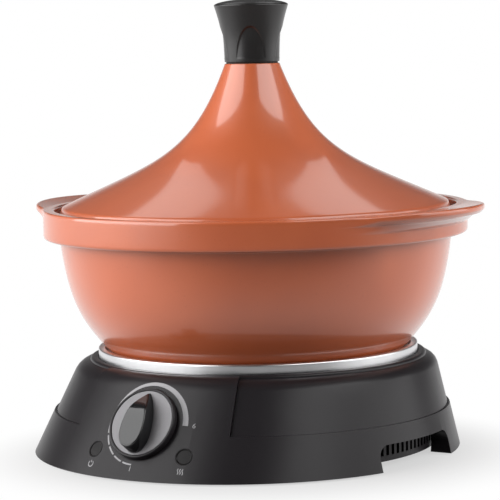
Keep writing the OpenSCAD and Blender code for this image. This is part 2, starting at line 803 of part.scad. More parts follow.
module bottom_pan() {
    pillar_r = post_r + 1.5;
    vent_count = floor(2 * vent_half_deg / 360 * 2 * PI * pan_r / vent_pitch) - 1;
    vent_step = vent_pitch / pan_r * 180 / PI;
    color("#232427") difference() {
        union() {
            translate([0, pan_y, 0]) pan_tray();
            at_posts() rod(pillar_r, pan_floor_z - pan_t / 2, lug_z);
            block_pads();
        }
        translate([0, pan_y, 0]) for (side = [0, 180], i = [0:vent_count - 1])
            rotate([0, 0, side + (i - (vent_count - 1) / 2) * vent_step])
                translate([pan_r - 2 * pan_t, -vent_slot / 2, pan_floor_z + over])
                    cube([3 * pan_t, vent_slot, vent_h - pan_t - 2 * over]);
        at_posts() rod(case_screw_r + plain_hole_play, pan_z - over, lug_z + over);
        at_posts() rod(case_head_r + plain_hole_play, pan_z - over, pan_z + case_head_h + over);
        at_feet() rod(foot_stem_r + play, pan_z - over, pan_floor_z + over);
        at_tie_screws() rod(tie_screw_r, pan_floor_z - pan_t / 2, 2 * pan_floor_z);
    }
}

pad_h = 2;

// Raised pads that the terminal block and the cord clamp stand on
module block_pads() {
    at_tie_screws() rod(2 * tie_screw_r + over, pan_floor_z - pan_t / 4, pan_floor_z + pad_h);
}

tie_spots = [for (side = [-1, 1]) each [[side * (block_half_l - 4), block_y],
    [side * (cord_clamp_half_l - 4), cord_clamp_y]]];

module at_tie_screws() {
    for (spot = tie_spots) translate([spot[0], spot[1], 0]) children();
}

module rubber_feet() {
    taper = 0.8;
    head_low = pan_floor_z + play;
    head_high = pan_floor_z + 2;
    color("#171717") at_feet() rotate_extrude() polygon([[0, 0], [rubber_foot_r - taper, 0],
        [rubber_foot_r, taper], [rubber_foot_r, pan_z], [foot_stem_r, pan_z], [foot_stem_r, head_low],
        [foot_head_r, head_low], [foot_stem_r - 1, head_high], [0, head_high]]);
}

module case_screws() {
    seat = pan_z + case_head_h + over;
    color("#9a9a9a") at_posts() screw_up(case_screw_r, case_head_r, case_head_h, seat,
        lug_top_z + case_screw_grip - seat);
}

// Hot plate and heater

module hot_plate() {
    lip_in_r = plate_r - lip_w;
    color("#d5d6d8") union() {
        rotate_extrude() polygon(concat([[0, plate_under_z], [plate_r, plate_under_z]],
            arc([plate_r - lip_round, lip_top_z - lip_round], lip_round, 0, 90),
            [[lip_in_r, lip_top_z], [lip_in_r - lip_h / 3, plate_z], [0, plate_z]]));
        rod(centre_boss_r, clamp_z + clamp_t, plate_z - over);
        rod(centre_stud_r, clamp_z - clamp_nut_t - 2, plate_z - over);
        at_studs() rod(stud_r, seat_under_z - shield_t - nut_t - over, plate_z - over);
    }
}

module plate_gasket() {
    color("#c9c2b4") difference() {
        ring(collar_in_r - 1, seat_in_r + 1, seat_z, plate_under_z);
        at_studs() rod(stud_r + plain_hole_play, seat_z - over, plate_under_z + over);
    }
}

module plate_nuts() {
    top = seat_under_z - shield_t;
    color("#a5a5a5") at_studs() hex_nut(3.4 * stud_r, stud_r, top - nut_t, top);
}

// Tubular ring with a cold pin at each end, which passes down through the heat shield
module heating_element() {
    color("#6f6d6a") union() {
        rotate([0, 0, element_gap_deg / 2 - 90]) rotate_extrude(angle = 360 - element_gap_deg)
            translate([element_ring_r, element_z]) circle(element_r);
        at_element_pins() rod(element_pin_r, element_end_z, element_z + element_r);
    }
}

module element_clamp() {
    color("#b3b3b3") difference() {
        rod(clamp_r, clamp_z, clamp_z + clamp_t);
        rod(centre_stud_r + plain_hole_play, clamp_z - over, clamp_z + clamp_t + over);
        at_element_pins() rod(element_pin_r + over, clamp_z - over, clamp_z + clamp_t + over);
    }
}

module at_element_pins() {
    for (side = [0, 1]) mirror([side, 0, 0]) translate(element_pin) children();
}

module clamp_nut() {
    color("#a5a5a5") hex_nut(3.4 * centre_stud_r, centre_stud_r, clamp_z - clamp_nut_t, clamp_z);
}

capillary_r = 0.9;
capillary_hole = [-bulb_l / 2 - 12, bulb_y + 6, shield_low_z];

module heat_shield() {
    color("#c4c4c2") difference() {
        union() {
            ring(shield_flange_r, shield_wall_r - shield_t, shield_top_z - shield_t, shield_top_z);
            ring(shield_wall_r, shield_wall_r - shield_t, shield_low_z, shield_top_z);
            rod(shield_wall_r, shield_low_z, shield_low_z + shield_t);
        }
        at_studs() rod(stud_r + plain_hole_play, shield_top_z - 2 * shield_t, shield_top_z + over);
        at_element_pins() rod(element_pin_r + over, shield_low_z - over, shield_low_z + 2 * shield_t);
        translate([capillary_hole[0], capillary_hole[1], 0])
            rod(capillary_r + over, shield_low_z - over, shield_low_z + 2 * shield_t);
        translate([earth_x, earth_y, 0]) rod(earth_screw_r, shield_low_z - over, shield_low_z + 2 * shield_t);
    }
}

module insulation() {
    low = shield_low_z + shield_t;
    color("#d9d3c3") difference() {
        rod(clamp_r + 2, low, low + insulation_t);
        rod(2.5 * centre_stud_r, low - over, low + insulation_t + over);
        at_element_pins() rod(element_pin_r + over, low - over, low + insulation_t + over);
        translate([earth_x, earth_y, 0]) rod(centre_stud_r, low - over, low + insulation_t + over);
    }
}

module pin_bushes() {
    color("#e6e0d2") at_element_pins()
        ring(pin_bush_r, element_pin_r + play, shield_low_z - pin_bush_h, shield_low_z);
}

module thermostat_bulb() {
    color("#b87b4b") translate([0, bulb_y, bulb_z]) rotate([0, 90, 0]) rod(bulb_r, -bulb_l / 2, bulb_l / 2);
}

// Sheet strap that holds the bulb up against the hot plate
module bulb_clip() {
    half_w = 5;
    reach = 2.5;
    low = bulb_z - bulb_r - play - shield_t;
    color("#b3b3b3") translate([-half_w, bulb_y, 0]) difference() {
        union() {
            translate([0, -bulb_r - play - shield_t, low])
                cube([2 * half_w, 2 * (bulb_r + play + shield_t), plate_under_z - low]);
            translate([0, -bulb_r - reach, plate_under_z - shield_t])
                cube([2 * half_w, 2 * (bulb_r + reach), shield_t]);
        }
        translate([-over, -bulb_r - play, low + shield_t])
            cube([2 * half_w + 2 * over, 2 * (bulb_r + play), 2 * bulb_r + 2 * over]);
    }
}

// Frame of the panel's normal at the knob, for points given along it
knob_spot = [0, -outline_r(knob_z) - shift_at(knob_z), knob_z];
panel_out = [0, -cos(slope_at(0)), sin(slope_at(0))];
panel_up = [0, sin(slope_at(0)), cos(slope_at(0))];
function by_knob(x, up, out) = knob_spot + [x, 0, 0] + up * panel_up + out * panel_out;

module capillary() {
    start = by_knob(0, thermostat_half_h, case_low + thermostat_d / 2);
    hole = capillary_hole;
    finish = [-bulb_l / 2, bulb_y, bulb_z];
    points = concat(run(start, 8 * panel_up, hole - [0, 0, 4], [0, 0, -8]),
        run(hole + [0, 0, 4], [0, 0, 6], finish, [-9, 0, 0]));
    color("#b87b4b") tube(points, capillary_r);
}

// Control knob

module knob_body() {
    face_low = knob_h - knob_face_t;
    color("#161617") on_base(0, knob_z) difference() {
        union() {
            difference() {
                rod(knob_r, knob_lift - well_depth, knob_h);
                rod(knob_r - knob_rim_w, face_low, knob_h + over);
                rod(knob_cavity_r, -2 * well_depth, knob_cavity_h);
            }
            difference() {
                grip(0, face_low - knob_face_t, knob_h + grip_h);
                grip_slope();
            }
        }
        difference() {
            rod(spindle_r + spindle_clear, -2 * well_depth, spindle_top + play);
            spindle_flat(flat_at + spindle_clear);
        }
    }
}

// Grip in the form of a drop: pointed towards the mark, blunt at its other end
module grip(gap, low, high) {
    half_l = knob_r - knob_rim_w - grip_margin + gap;
    half_w = grip_half_w + gap;
    tip = [0, half_l];
    wide = [half_w, -grip_belly * half_l];
    side = concat(cubic(tip, [0.55 * half_w, 0.72 * half_l], [half_w, 0.2 * half_l], wide),
        rest(cubic(wide, [half_w, -0.75 * half_l], [0.6 * half_w, -half_l], -tip)));
    translate([0, 0, low]) linear_extrude(high - low)
        polygon(concat(side, [for (i = [len(side) - 2:-1:1]) [-side[i][0], side[i][1]]]));
}

// Cuts the grip's top down along a slope from its crest to its tip
module grip_slope() {
    tip = [knob_r, knob_h + grip_tip_h];
    crest = [grip_crest, knob_h + grip_h];
    rotate([90, 0, 90]) translate([0, 0, -knob_r]) linear_extrude(2 * knob_r)
        polygon([tip, tip + [0, grip_h], crest + [0, grip_tip_h], crest]);
}

module knob_face() {
    color("#9b9a9b") on_base(0, knob_z) difference() {
        rod(knob_r - knob_rim_w - play, knob_h - knob_face_t, knob_h);
        grip(play, knob_h - 2 * knob_face_t, knob_h + over);
    }
}

module knob_clip() {
    low = bush_nut_t - well_depth + plain_hole_play;
    high = knob_cavity_h;
    color("#9d9d9d") on_base(0, knob_z) difference() {
        ring(knob_cavity_r - play, knob_cavity_r - 1.2, low, high);
        translate([-1.5, 0, low - over]) cube([3, knob_cavity_r + over, high - low + 2 * over]);
    }
}

// Cut that gives the spindle its flat side
module spindle_flat(at) {
    translate([at, -knob_r, knob_cavity_h]) cube([knob_r, 2 * knob_r, knob_h + grip_h]);
}

module spindle() {
    color("#b0b0b0") on_base(0, knob_z) difference() {
        rod(spindle_r, spindle_low, spindle_top);
        spindle_flat(flat_at);
        rod(pin_r + spindle_clear, spindle_low - over, pin_top + over);
    }
}

// Thermostat

module thermostat_pin() {
    color("#e9e4d8") on_base(0, knob_z) rod(pin_r, pin_low, pin_top);
}

module thermostat_bush() {
    color("#b99a4f") on_base(0, knob_z) difference() {
        union() {
            rod(bush_flange_r, bush_low, bush_low + bush_flange_t);
            rod(bush_r, bush_low, bush_top);
        }
        rod(spindle_r + spindle_clear, bush_low - over, bush_top + over);
    }
}

module bush_nut() {
    color("#b99a4f") on_base(0, knob_z) hex_nut(bush_nut_af, bush_r, -well_depth, bush_nut_t - well_depth);
}

module thermostat_case() {
    w = thermostat_half_w;
    h = thermostat_half_h;
    wall = thermostat_wall;
    color("#8d8a84") on_base(0, knob_z) difference() {
        translate([-w, -h, case_low]) cube([2 * w, 2 * h, thermostat_d]);
        translate([wall - w, wall - h, case_low - over])
            cube([2 * (w - wall), 2 * (h - wall), thermostat_d - wall + over]);
        rod(spindle_r + 2 * play, case_low, 0);
    }
}

module thermostat_base() {
    color("#d8d1c0") on_base(0, knob_z) union() {
        translate([-thermostat_half_w, -thermostat_half_h, base_low])
            cube([2 * thermostat_half_w, 2 * thermostat_half_h, thermostat_base_t]);
        for (side = [-1, 1]) translate([side * terminal_x, 0, 0])
            rod(2 * wire_r, base_low - terminal_l, base_low);
        translate([-terminal_x, 0, 0]) rod(1.5, case_low, leaf_top - leaf_t);
    }
}

module contact_leaf() {
    color("#c08a4a") on_base(0, knob_z) translate([-terminal_x - 2.5, -2.5, leaf_top - leaf_t])
        cube([2 * terminal_x, 5, leaf_t]);
}

// Lamps

module lens(side) {
    on_base(side * lamp_deg, lamp_z) difference() {
        union() {
            rod(lens_r, lens_under - over, lens_top);
            rod(lens_flange_r, lens_under - lens_flange_t, lens_under - play);
        }
        rod(lamp_r + play, lens_under - 2 * lens_flange_t, lens_top - 1.2);
    }
}

module lamp(side) {
    on_base(side * lamp_deg, lamp_z) union() {
        rod(lamp_r, lamp_low, lens_top - 1.2 - play);
        rod(lens_flange_r, lens_under - lens_flange_t - 2, lens_under - lens_flange_t);
    }
}

module power_lens() {
    color("#3a3536") lens(-1);
}

module heat_lens() {
    color("#3a3536") lens(1);
}

module power_lamp() {
    color("#c9c4bd") lamp(-1);
}

module heat_lamp() {
    color("#c9c4bd") lamp(1);
}

// Mains pieces

module cord_gland() {
    inner = -shell_wall * cos(slope_at(180));
    color("#1a1a1b") on_base(180, gland_z) difference() {
        union() {
            rod(gland_flange_r, 0, gland_flange_t);
            rod(gland_r, inner - gland_inner_l, gland_flange_t);
            rod(gland_flange_r, inner - gland_inner_l, inner - gland_inner_l / 2);
        }
        rod(gland_bore_r, inner - gland_inner_l - over, gland_flange_t + over);
    }
}

module cord_clamp() {
    low = pan_floor_z + pad_h;
    color("#d8d3c8") difference() {
        translate([-cord_clamp_half_l, cord_clamp_y - cord_clamp_w / 2, low])
            cube([2 * cord_clamp_half_l, cord_clamp_w, cord_clamp_h]);
        translate([0, cord_clamp_y, low + cord_clamp_h / 2]) rotate([90, 0, 0])
            rod(gland_bore_r, -cord_clamp_w, cord_clamp_w);
        at_tie_screws() rod(tie_screw_r + plain_hole_play, low - over, low + cord_clamp_h + over);
    }
}

module terminal_block() {
    low = pan_floor_z + pad_h;
    color("#e4dfd2") difference() {
        translate([-block_half_l, block_front_y, low]) cube([2 * block_half_l, block_w, block_h]);
        at_tie_screws() rod(tie_screw_r + plain_hole_play, low - over, low + block_h + over);
    }
}

module tie_screws() {
    low = pan_floor_z + pad_h;
    color("#a0a0a0") for (spot = tie_spots) translate([spot[0], spot[1], 0]) {
        top = low + (spot[1] == block_y ? block_h : cord_clamp_h);
        translate([0, 0, top]) rotate([180, 0, 0])
            screw_up(tie_screw_r, tie_head_r, tie_head_h, 0, top - pan_floor_z);
    }
}

module thermal_fuse() {
    color("#c9b27a") translate([fuse_x, fuse_y, fuse_z]) rotate([90, 0, 0])
        rod(fuse_r, -fuse_half_l, fuse_half_l);
}

// Sheet strap that holds the fuse up against the heat shield
module fuse_clip() {
    half_w = 3;
    reach = 2;
    wide = fuse_r + play + shield_t;
    low = fuse_z - wide;
    color("#b3b3b3") translate([fuse_x, fuse_y - half_w, 0]) difference() {
        union() {
            translate([-wide, 0, low]) cube([2 * wide, 2 * half_w, shield_low_z - low]);
            translate([-wide - reach, 0, shield_low_z - shield_t])
                cube([2 * (wide + reach), 2 * half_w, shield_t]);
        }
        translate([-fuse_r - play, -over, low + shield_t])
            cube([2 * (fuse_r + play), 2 * half_w + 2 * over, shield_low_z]);
    }
}

module earth_screw() {
    color("#a8a8a8") translate([earth_x, earth_y, 0]) {
        rod(earth_head_r, shield_low_z - earth_head_h, shield_low_z);
        rod(earth_screw_r, shield_low_z - over, shield_low_z + shield_t + 2);
    }
}

// Internal wires, each from one terminal's face to another's

block_wire_pitch = 7;
wire_gap = 0.3;
wire_bend = 14;
wire_sweep = 22;
lead_sweep = 40;
lead_dip = 4;
lead_out = 6;
function block_point(i) = [i * block_wire_pitch, block_front_y, block_wire_z];
function thermostat_point(side) = by_knob(side * terminal_x, 0, base_low - terminal_l);
function pin_point(side) = [side * element_pin[0], element_pin[1], element_end_z];
to_front = [0, -lead_sweep, -lead_dip];

module live_wire() {
    color("#6b4426") tube(run(thermostat_point(1), -wire_bend * panel_out, block_point(0), to_front), wire_r);
}

module load_wire() {
    color("#6b4426") tube(run(thermostat_point(-1), -wire_bend * panel_out, pin_point(-1),
        [0, 0, -wire_bend]), wire_r);
}

module fuse_wire() {
    start = [fuse_x, fuse_y - fuse_half_l, fuse_z];
    color("#3f6aa0") tube(run(start, [0, -wire_sweep, 0], pin_point(1), [0, 0, -wire_bend]), wire_r);
}

module neutral_wire() {
    start = [fuse_x, fuse_y + fuse_half_l, fuse_z];
    color("#3f6aa0") tube(run(start, [0, wire_sweep, 0], block_point(1), [0, -wire_sweep, 0]), wire_r);
}

module earth_wire() {
    start = [earth_x, earth_y, shield_low_z - earth_head_h];
    color("#7f9a3c") tube(run(start, [0, 0, -wire_bend], block_point(-1), [0, -wire_bend, 0]), wire_r);
}

function lamp_point(side) = let (a = side * lamp_deg, s = slope_at(a))
    [outline_r(lamp_z) * sin(a), -outline_r(lamp_z) * cos(a) - shift_at(lamp_z), lamp_z]
    + (lamp_low - 0.75 * wire_r) * [sin(a) * cos(s), -cos(a) * cos(s), sin(s)];

function lamp_leave(side) = let (a = side * lamp_deg) [-lead_out * sin(a), wire_sweep, 0];

module power_lead() {
    color("#d8d5cf") tube(run(lamp_point(-1), lamp_leave(-1), block_point(-2), to_front), wire_r);
}

module heat_lead() {
    color("#d8d5cf") tube(run(lamp_point(1), lamp_leave(1), block_point(2), to_front), wire_r);
}

lid();
lid_knob();
knob_gasket();
knob_insert();
lid_screw();
lid_washer();
bowl();
lower_housing();
top_cover();
bottom_pan();
rubber_feet();
case_screws();
hot_plate();
plate_gasket();
plate_nuts();
heating_element();
element_clamp();
clamp_nut();
heat_shield();
insulation();
pin_bushes();
thermostat_bulb();
bulb_clip();
capillary();
knob_body();
knob_face();
knob_clip();
spindle();
thermostat_pin();
thermostat_bush();
bush_nut();
thermostat_case();
thermostat_base();
contact_leaf();
power_lens();
heat_lens();
power_lamp();
heat_lamp();
cord_gland();
cord_clamp();
terminal_block();
tie_screws();
thermal_fuse();
fuse_clip();
earth_screw();
live_wire();
load_wire();
neutral_wire();
fuse_wire();
earth_wire();
power_lead();
heat_lead();
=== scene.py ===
"""Looks of an electric tagine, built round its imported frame.

Shapes are worked out in millimetres and turned to metres when a mesh is made. Angles round the base are
counted in degrees from the front, where the control panel is, towards the right handle.
"""

import json
from math import asin, atan, cos, degrees, exp, hypot, log1p, pi, radians, sin, sqrt, tau

import bmesh
import bpy
from bpy.props import FloatProperty, FloatVectorProperty, IntProperty, PointerProperty, StringProperty
from bpy.types import Operator, Panel, PropertyGroup
from mathutils import Matrix, Vector


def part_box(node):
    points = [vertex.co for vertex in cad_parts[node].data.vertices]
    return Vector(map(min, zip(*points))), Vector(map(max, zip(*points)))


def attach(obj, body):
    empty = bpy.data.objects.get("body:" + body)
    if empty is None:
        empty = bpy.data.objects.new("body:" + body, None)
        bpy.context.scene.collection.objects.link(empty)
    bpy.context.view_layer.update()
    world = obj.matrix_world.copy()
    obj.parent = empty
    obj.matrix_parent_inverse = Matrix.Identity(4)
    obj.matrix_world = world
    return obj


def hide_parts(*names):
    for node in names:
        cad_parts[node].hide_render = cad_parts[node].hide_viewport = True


bl_info = {
    "name": "Electric Tagine",
    "version": (1, 0, 0),
    "blender": (4, 5, 0),
    "location": "View3D > Sidebar > Tagine",
    "description": "Builds the clay pot, the heated base and the studio of an electric tagine",
    "category": "Add Mesh",
}

MM = 0.001
MERGE = 1e-6
TREES = {}
FINISHES = {}

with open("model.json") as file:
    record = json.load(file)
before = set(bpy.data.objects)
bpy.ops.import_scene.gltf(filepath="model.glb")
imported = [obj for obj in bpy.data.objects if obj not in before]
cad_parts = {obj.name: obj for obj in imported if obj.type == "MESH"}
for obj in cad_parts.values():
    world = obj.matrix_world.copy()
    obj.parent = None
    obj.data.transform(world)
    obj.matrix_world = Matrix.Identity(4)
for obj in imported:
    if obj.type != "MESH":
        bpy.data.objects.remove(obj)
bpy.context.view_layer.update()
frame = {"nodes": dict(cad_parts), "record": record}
SLOT_OF = {part["node"]: part["material_slot"] for part in frame["record"]["subparts"]}
BODY_OF = {node: body for body, nodes in frame["record"]["behaviour"]["bodies"].items() for node in nodes}


def span(node):
    """Lowest and highest corner of a CAD node, in millimetres."""
    return [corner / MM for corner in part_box(node)]


def linear(code):
    """Linear colour of an sRGB hex value."""
    parts = [int(code[i:i + 2], 16) / 255 for i in (1, 3, 5)]
    return tuple(c / 12.92 if c <= 0.04045 else ((c + 0.055) / 1.055) ** 2.4 for c in parts)


def shade(code):
    """The same with full alpha, as a node's socket takes it."""
    return (*linear(code), 1.0)


# Sizes and colours that a user would change


def length(label, description, size):
    """Setting for a length, its default in millimetres."""
    return FloatProperty(name=label, description=description, default=size * MM, unit="LENGTH")


def tint(label, description, code):
    """Setting for a colour, its default an sRGB hex value."""
    return FloatVectorProperty(
        name=label, description=description, subtype="COLOR", size=3, default=linear(code))


class ClaySettings(PropertyGroup):
    """Bowl and lid"""

    glaze: tint("Glaze", "Main colour of the glaze", "#9C4E2D")
    glaze_deep: tint("Deep glaze", "Colour where the glaze lies thick", "#8F4427")
    lid_wall: length("Lid wall", "Thickness of the lid", 7)
    neck_radius: length("Neck", "Radius of the lid's neck under its knob", 18)
    handle_reach: length("Handle reach", "How far a tab handle stands out of the rim", 18.5)
    handle_sweep: length("Handle sweep", "Rise of a handle's tip above the rim", 2)
    handle_span: length("Handle span", "Half the width of a tab handle at the rim", 72)
    flats: IntProperty(name="Finger flats", description="Finger flats round the lid's knob", default=4)


class BaseSettings(PropertyGroup):
    """Heated base"""

    plastic: tint("Mouldings", "Colour of the base's mouldings", "#110F11")
    foot_radius: length("Foot radius", "Radius of the skirt at the worktop", 140.4)
    crown_radius: length("Crown radius", "Radius of the skirt's cone at the bead", 118.6)
    lean: length("Lean", "How far the skirt's foot lies in front of the plate's axis", 16)
    height: length("Height", "Height of the bead round the plate", 61)


class DialSettings(PropertyGroup):
    """Control panel"""

    knob_height: length("Knob place", "Height of the knob's centre on the panel", 32.6)
    scale_radius: length("Scale radius", "Inner radius of the printed scale", 26.2)
    scale_width: length("Scale width", "Width of the printed scale at its hot end", 3.6)
    lamp_angle: FloatProperty(
        name="Lamp angle", description="Turn of each lamp from the front of the base",
        default=radians(14.1), unit="ROTATION")
    lamp_height: length("Lamp height", "Height of the lamps on the panel", 16)
    dashes: IntProperty(name="Dashes", description="Dashes at the cool end of the scale", default=5)
    cool_mark: StringProperty(name="Cool mark", description="Number at the cool end", default="1")
    hot_mark: StringProperty(name="Hot mark", description="Number at the hot end", default="6")
    ink: tint("Ink", "Colour of the print", "#7A797B")


class StageSettings(PropertyGroup):
    """Studio"""

    distance: length("Distance", "From the plate's axis to the camera", 1573.7)
    eye_height: length("Eye height", "Height of the camera", 279.2)
    azimuth: FloatProperty(
        name="Azimuth", description="Turn of the camera from the front towards the right handle",
        default=radians(31.6), unit="ROTATION")
    softbox_watts: FloatProperty(
        name="Softboxes", description="Power that each large softbox has a share of", default=74)
    strip_watts: FloatProperty(
        name="Low softboxes", description="Power that each low softbox has a share of", default=165)
    rim_watts: FloatProperty(name="Back lights", description="Power of each light behind", default=2.2)
    sky: FloatProperty(name="Fill", description="Strength of the room on the camera's side", default=0.03)


# Node trees


def add(tree, kind, links=None, **settings):
    """Add a node; links gives each input, by name or number, a value, an output or a node, which stands
    for its first output."""
    node = tree.nodes.new(kind)
    for key, value in settings.items():
        setattr(node, key, value)
    for key, value in (links or {}).items():
        if isinstance(value, bpy.types.Node):
            value = value.outputs[0]
        if isinstance(value, bpy.types.NodeSocket):
            tree.links.new(value, node.inputs[key])
        else:
            node.inputs[key].default_value = value
    return node


def new_tree(name, **inputs):
    """Geometry tree with a geometry input and output, the named inputs and a material input."""
    tree = bpy.data.node_groups.new(name, "GeometryNodeTree")
    tree.interface.new_socket("Geometry", in_out="OUTPUT", socket_type="NodeSocketGeometry")
    for label, kind in {"Geometry": "Geometry", **inputs, "Material": "Material"}.items():
        tree.interface.new_socket(label, in_out="INPUT", socket_type="NodeSocket" + kind)
    return tree, add(tree, "NodeGroupInput").outputs


def close_tree(tree, given, geometry):
    """End a tree: real faces, then the material, then the output."""
    real = add(tree, "GeometryNodeRealizeInstances", {"Geometry": geometry})
    dressed = add(tree, "GeometryNodeSetMaterial", {"Geometry": real, "Material": given["Material"]})
    add(tree, "NodeGroupOutput", {"Geometry": dressed})
    return tree


def round_axis(tree, radius, turn, height=0.0):
    """Point at a radius and a turn about the Z axis, in a tree."""
    cosine = add(tree, "ShaderNodeMath", {0: turn}, operation="COSINE")
    sine = add(tree, "ShaderNodeMath", {0: turn}, operation="SINE")
    x = add(tree, "ShaderNodeMath", {0: radius, 1: cosine}, operation="MULTIPLY")
    y = add(tree, "ShaderNodeMath", {0: radius, 1: sine}, operation="MULTIPLY")
    return add(tree, "ShaderNodeCombineXYZ", {"X": x, "Y": y, "Z": height})


def turned_tree():
    """Turns a profile, drawn as points (radius, 0, height), about the Z axis."""
    tree, given = new_tree("Turned form", Segments="Int")
    drawn = add(tree, "GeometryNodeAttributeDomainSize", {"Geometry": given["Geometry"]})
    count = drawn.outputs["Point Count"]
    columns = add(tree, "ShaderNodeMath", {0: given["Segments"], 1: 1.0}, operation="ADD")
    grid = add(tree, "GeometryNodeMeshGrid", {
        "Size X": 1.0, "Size Y": 1.0, "Vertices X": columns, "Vertices Y": count})
    place = add(tree, "GeometryNodeInputPosition")
    on_grid = add(tree, "ShaderNodeSeparateXYZ", {0: place}).outputs
    turn = add(tree, "ShaderNodeMath", {0: on_grid["X"], 1: tau, 2: pi}, operation="MULTIPLY_ADD")
    last = add(tree, "ShaderNodeMath", {0: count, 1: 1.0}, operation="SUBTRACT")
    along = add(tree, "ShaderNodeMath", {0: on_grid["Y"], 1: 0.5}, operation="ADD")
    row = add(tree, "ShaderNodeMath", {0: along, 1: last}, operation="MULTIPLY")
    whole = add(tree, "ShaderNodeMath", {0: row}, operation="ROUND")
    point = add(tree, "GeometryNodeSampleIndex", {
        "Geometry": given["Geometry"], "Value": place, "Index": whole}, data_type="FLOAT_VECTOR")
    profile = add(tree, "ShaderNodeSeparateXYZ", {0: point}).outputs
    spot = round_axis(tree, profile["X"], turn, profile["Z"])
    moved = add(tree, "GeometryNodeSetPosition", {"Geometry": grid, "Position": spot})
    closed = add(tree, "GeometryNodeMergeByDistance", {"Geometry": moved, "Distance": MERGE})
    smooth = add(tree, "GeometryNodeSetShadeSmooth", {0: closed})
    return close_tree(tree, given, smooth)


def ring_tree():
    """Copies of a shape on an arc about the Z axis, each turned with its place on the arc."""
    tree, given = new_tree("Ring of copies", Copies="Int", Radius="Float", First="Float", Step="Float")
    line = add(tree, "GeometryNodeMeshLine", {"Count": given["Copies"], "Offset": (0.0, 0.0, 0.0)})
    number = add(tree, "GeometryNodeInputIndex")
    turn = add(tree, "ShaderNodeMath", {0: number, 1: given["Step"], 2: given["First"]},
               operation="MULTIPLY_ADD")
    spot = round_axis(tree, given["Radius"], turn)
    points = add(tree, "GeometryNodeSetPosition", {"Geometry": line, "Position": spot})
    spin = add(tree, "ShaderNodeCombineXYZ", {"Z": turn})
    copies = add(tree, "GeometryNodeInstanceOnPoints", {
        "Points": points, "Instance": given["Geometry"], "Rotation": spin})
    return close_tree(tree, given, copies)


def placed(name, data):
    """New object in the scene."""
    made = bpy.data.objects.new(name, data)
    bpy.context.scene.collection.objects.link(made)
    return made


def plain_mesh(maker):
    """Evaluated mesh of an object, which is then removed."""
    bpy.context.view_layer.update()
    depsgraph = bpy.context.evaluated_depsgraph_get()
    mesh = bpy.data.meshes.new_from_object(maker.evaluated_get(depsgraph))
    bpy.data.objects.remove(maker)
    return mesh


def grown(mesh, tree_name, finish, **inputs):
    """Plain mesh in one finish that a tree makes from a mesh, with the tree's inputs given by name."""
    tree, inputs["Material"] = TREES[tree_name], FINISHES[finish]
    maker = placed("maker", mesh)
    modifier = maker.modifiers.new("maker", "NODES")
    modifier.node_group = tree
    for item in tree.interface.items_tree:
        if item.in_out == "INPUT" and item.name in inputs:
            modifier[item.identifier] = inputs[item.name]
    result = plain_mesh(maker)
    if not result.polygons:
        raise RuntimeError(f"the tree {tree.name} made no faces")
    return result


# Shapes


def cubic(a, b, c, d, steps=24):
    """Points of a cubic curve from a to d."""
    return [tuple((1 - t) ** 3 * p + 3 * (1 - t) ** 2 * t * q + 3 * (1 - t) * t * t * r + t ** 3 * s
                  for p, q, r, s in zip(a, b, c, d)) for t in (i / steps for i in range(steps + 1))]


def softened(points, steps=5):
    """A run of (x, y) points, each with a third number where its corner is rounded by about that much.
    A rounding stays in its own half of each side."""
    run, own_half = [], 0.48
    for i, (x, y, *size) in enumerate(points):
        here = Vector((x, y))
        if not size or i in (0, len(points) - 1):
            run.append((x, y))
            continue
        before, after = Vector(points[i - 1][:2]) - here, Vector(points[i + 1][:2]) - here
        start = here + before.normalized() * min(size[0], own_half * before.length)
        end = here + after.normalized() * min(size[0], own_half * after.length)
        for k in range(steps + 1):
            t = k / steps
            run.append(tuple((1 - t) ** 2 * start + 2 * (1 - t) * t * here + t * t * end))
    return run


def beside(points, distance):
    """A curve moved to the right of its run."""
    moved = []
    for i, (x, y) in enumerate(points):
        a, b = points[max(i - 1, 0)], points[min(i + 1, len(points) - 1)]
        along = (Vector(b) - Vector(a)).normalized()
        moved.append((x + distance * along.y, y - distance * along.x))
    return moved


def polar(radius, turn, height=0.0):
    """Point at a radius and a turn about the Z axis."""
    return (radius * cos(turn), radius * sin(turn), height)


def mesh_of(name, points, faces=(), edges=()):
    """Mesh from points in millimetres."""
    mesh = bpy.data.meshes.new(name)
    mesh.from_pydata([Vector(p) * MM for p in points], edges, faces)
    return mesh


def turned(name, profile, segments, finish):
    """Mesh of a closed (radius, height) profile turned about Z."""
    points = [(r, 0, z) for r, z in profile]
    line = mesh_of(name, points, edges=[(i, i + 1) for i in range(len(points) - 1)])
    return grown(line, "turned", finish, Segments=segments)


def lattice(rows, closed=True):
    """Faces between rows of equal length; closed joins each row's ends."""
    width = len(rows[0])
    last = width if closed else width - 1
    points = [p for row in rows for p in row]
    faces = []
    for low in range(0, width * (len(rows) - 1), width):
        high = low + width
        for i in range(last):
            after = (i + 1) % width
            faces.append((low + i, low + after, high + after, high + i))
    return points, faces


def capped(rows):
    """Points and faces of closed rows, with one face over the first and one over the last."""
    points, faces = lattice(rows)
    width = len(rows[0])
    faces.append(tuple(range(width)))
    faces.append(tuple(range(len(points) - width, len(points))))
    return points, faces


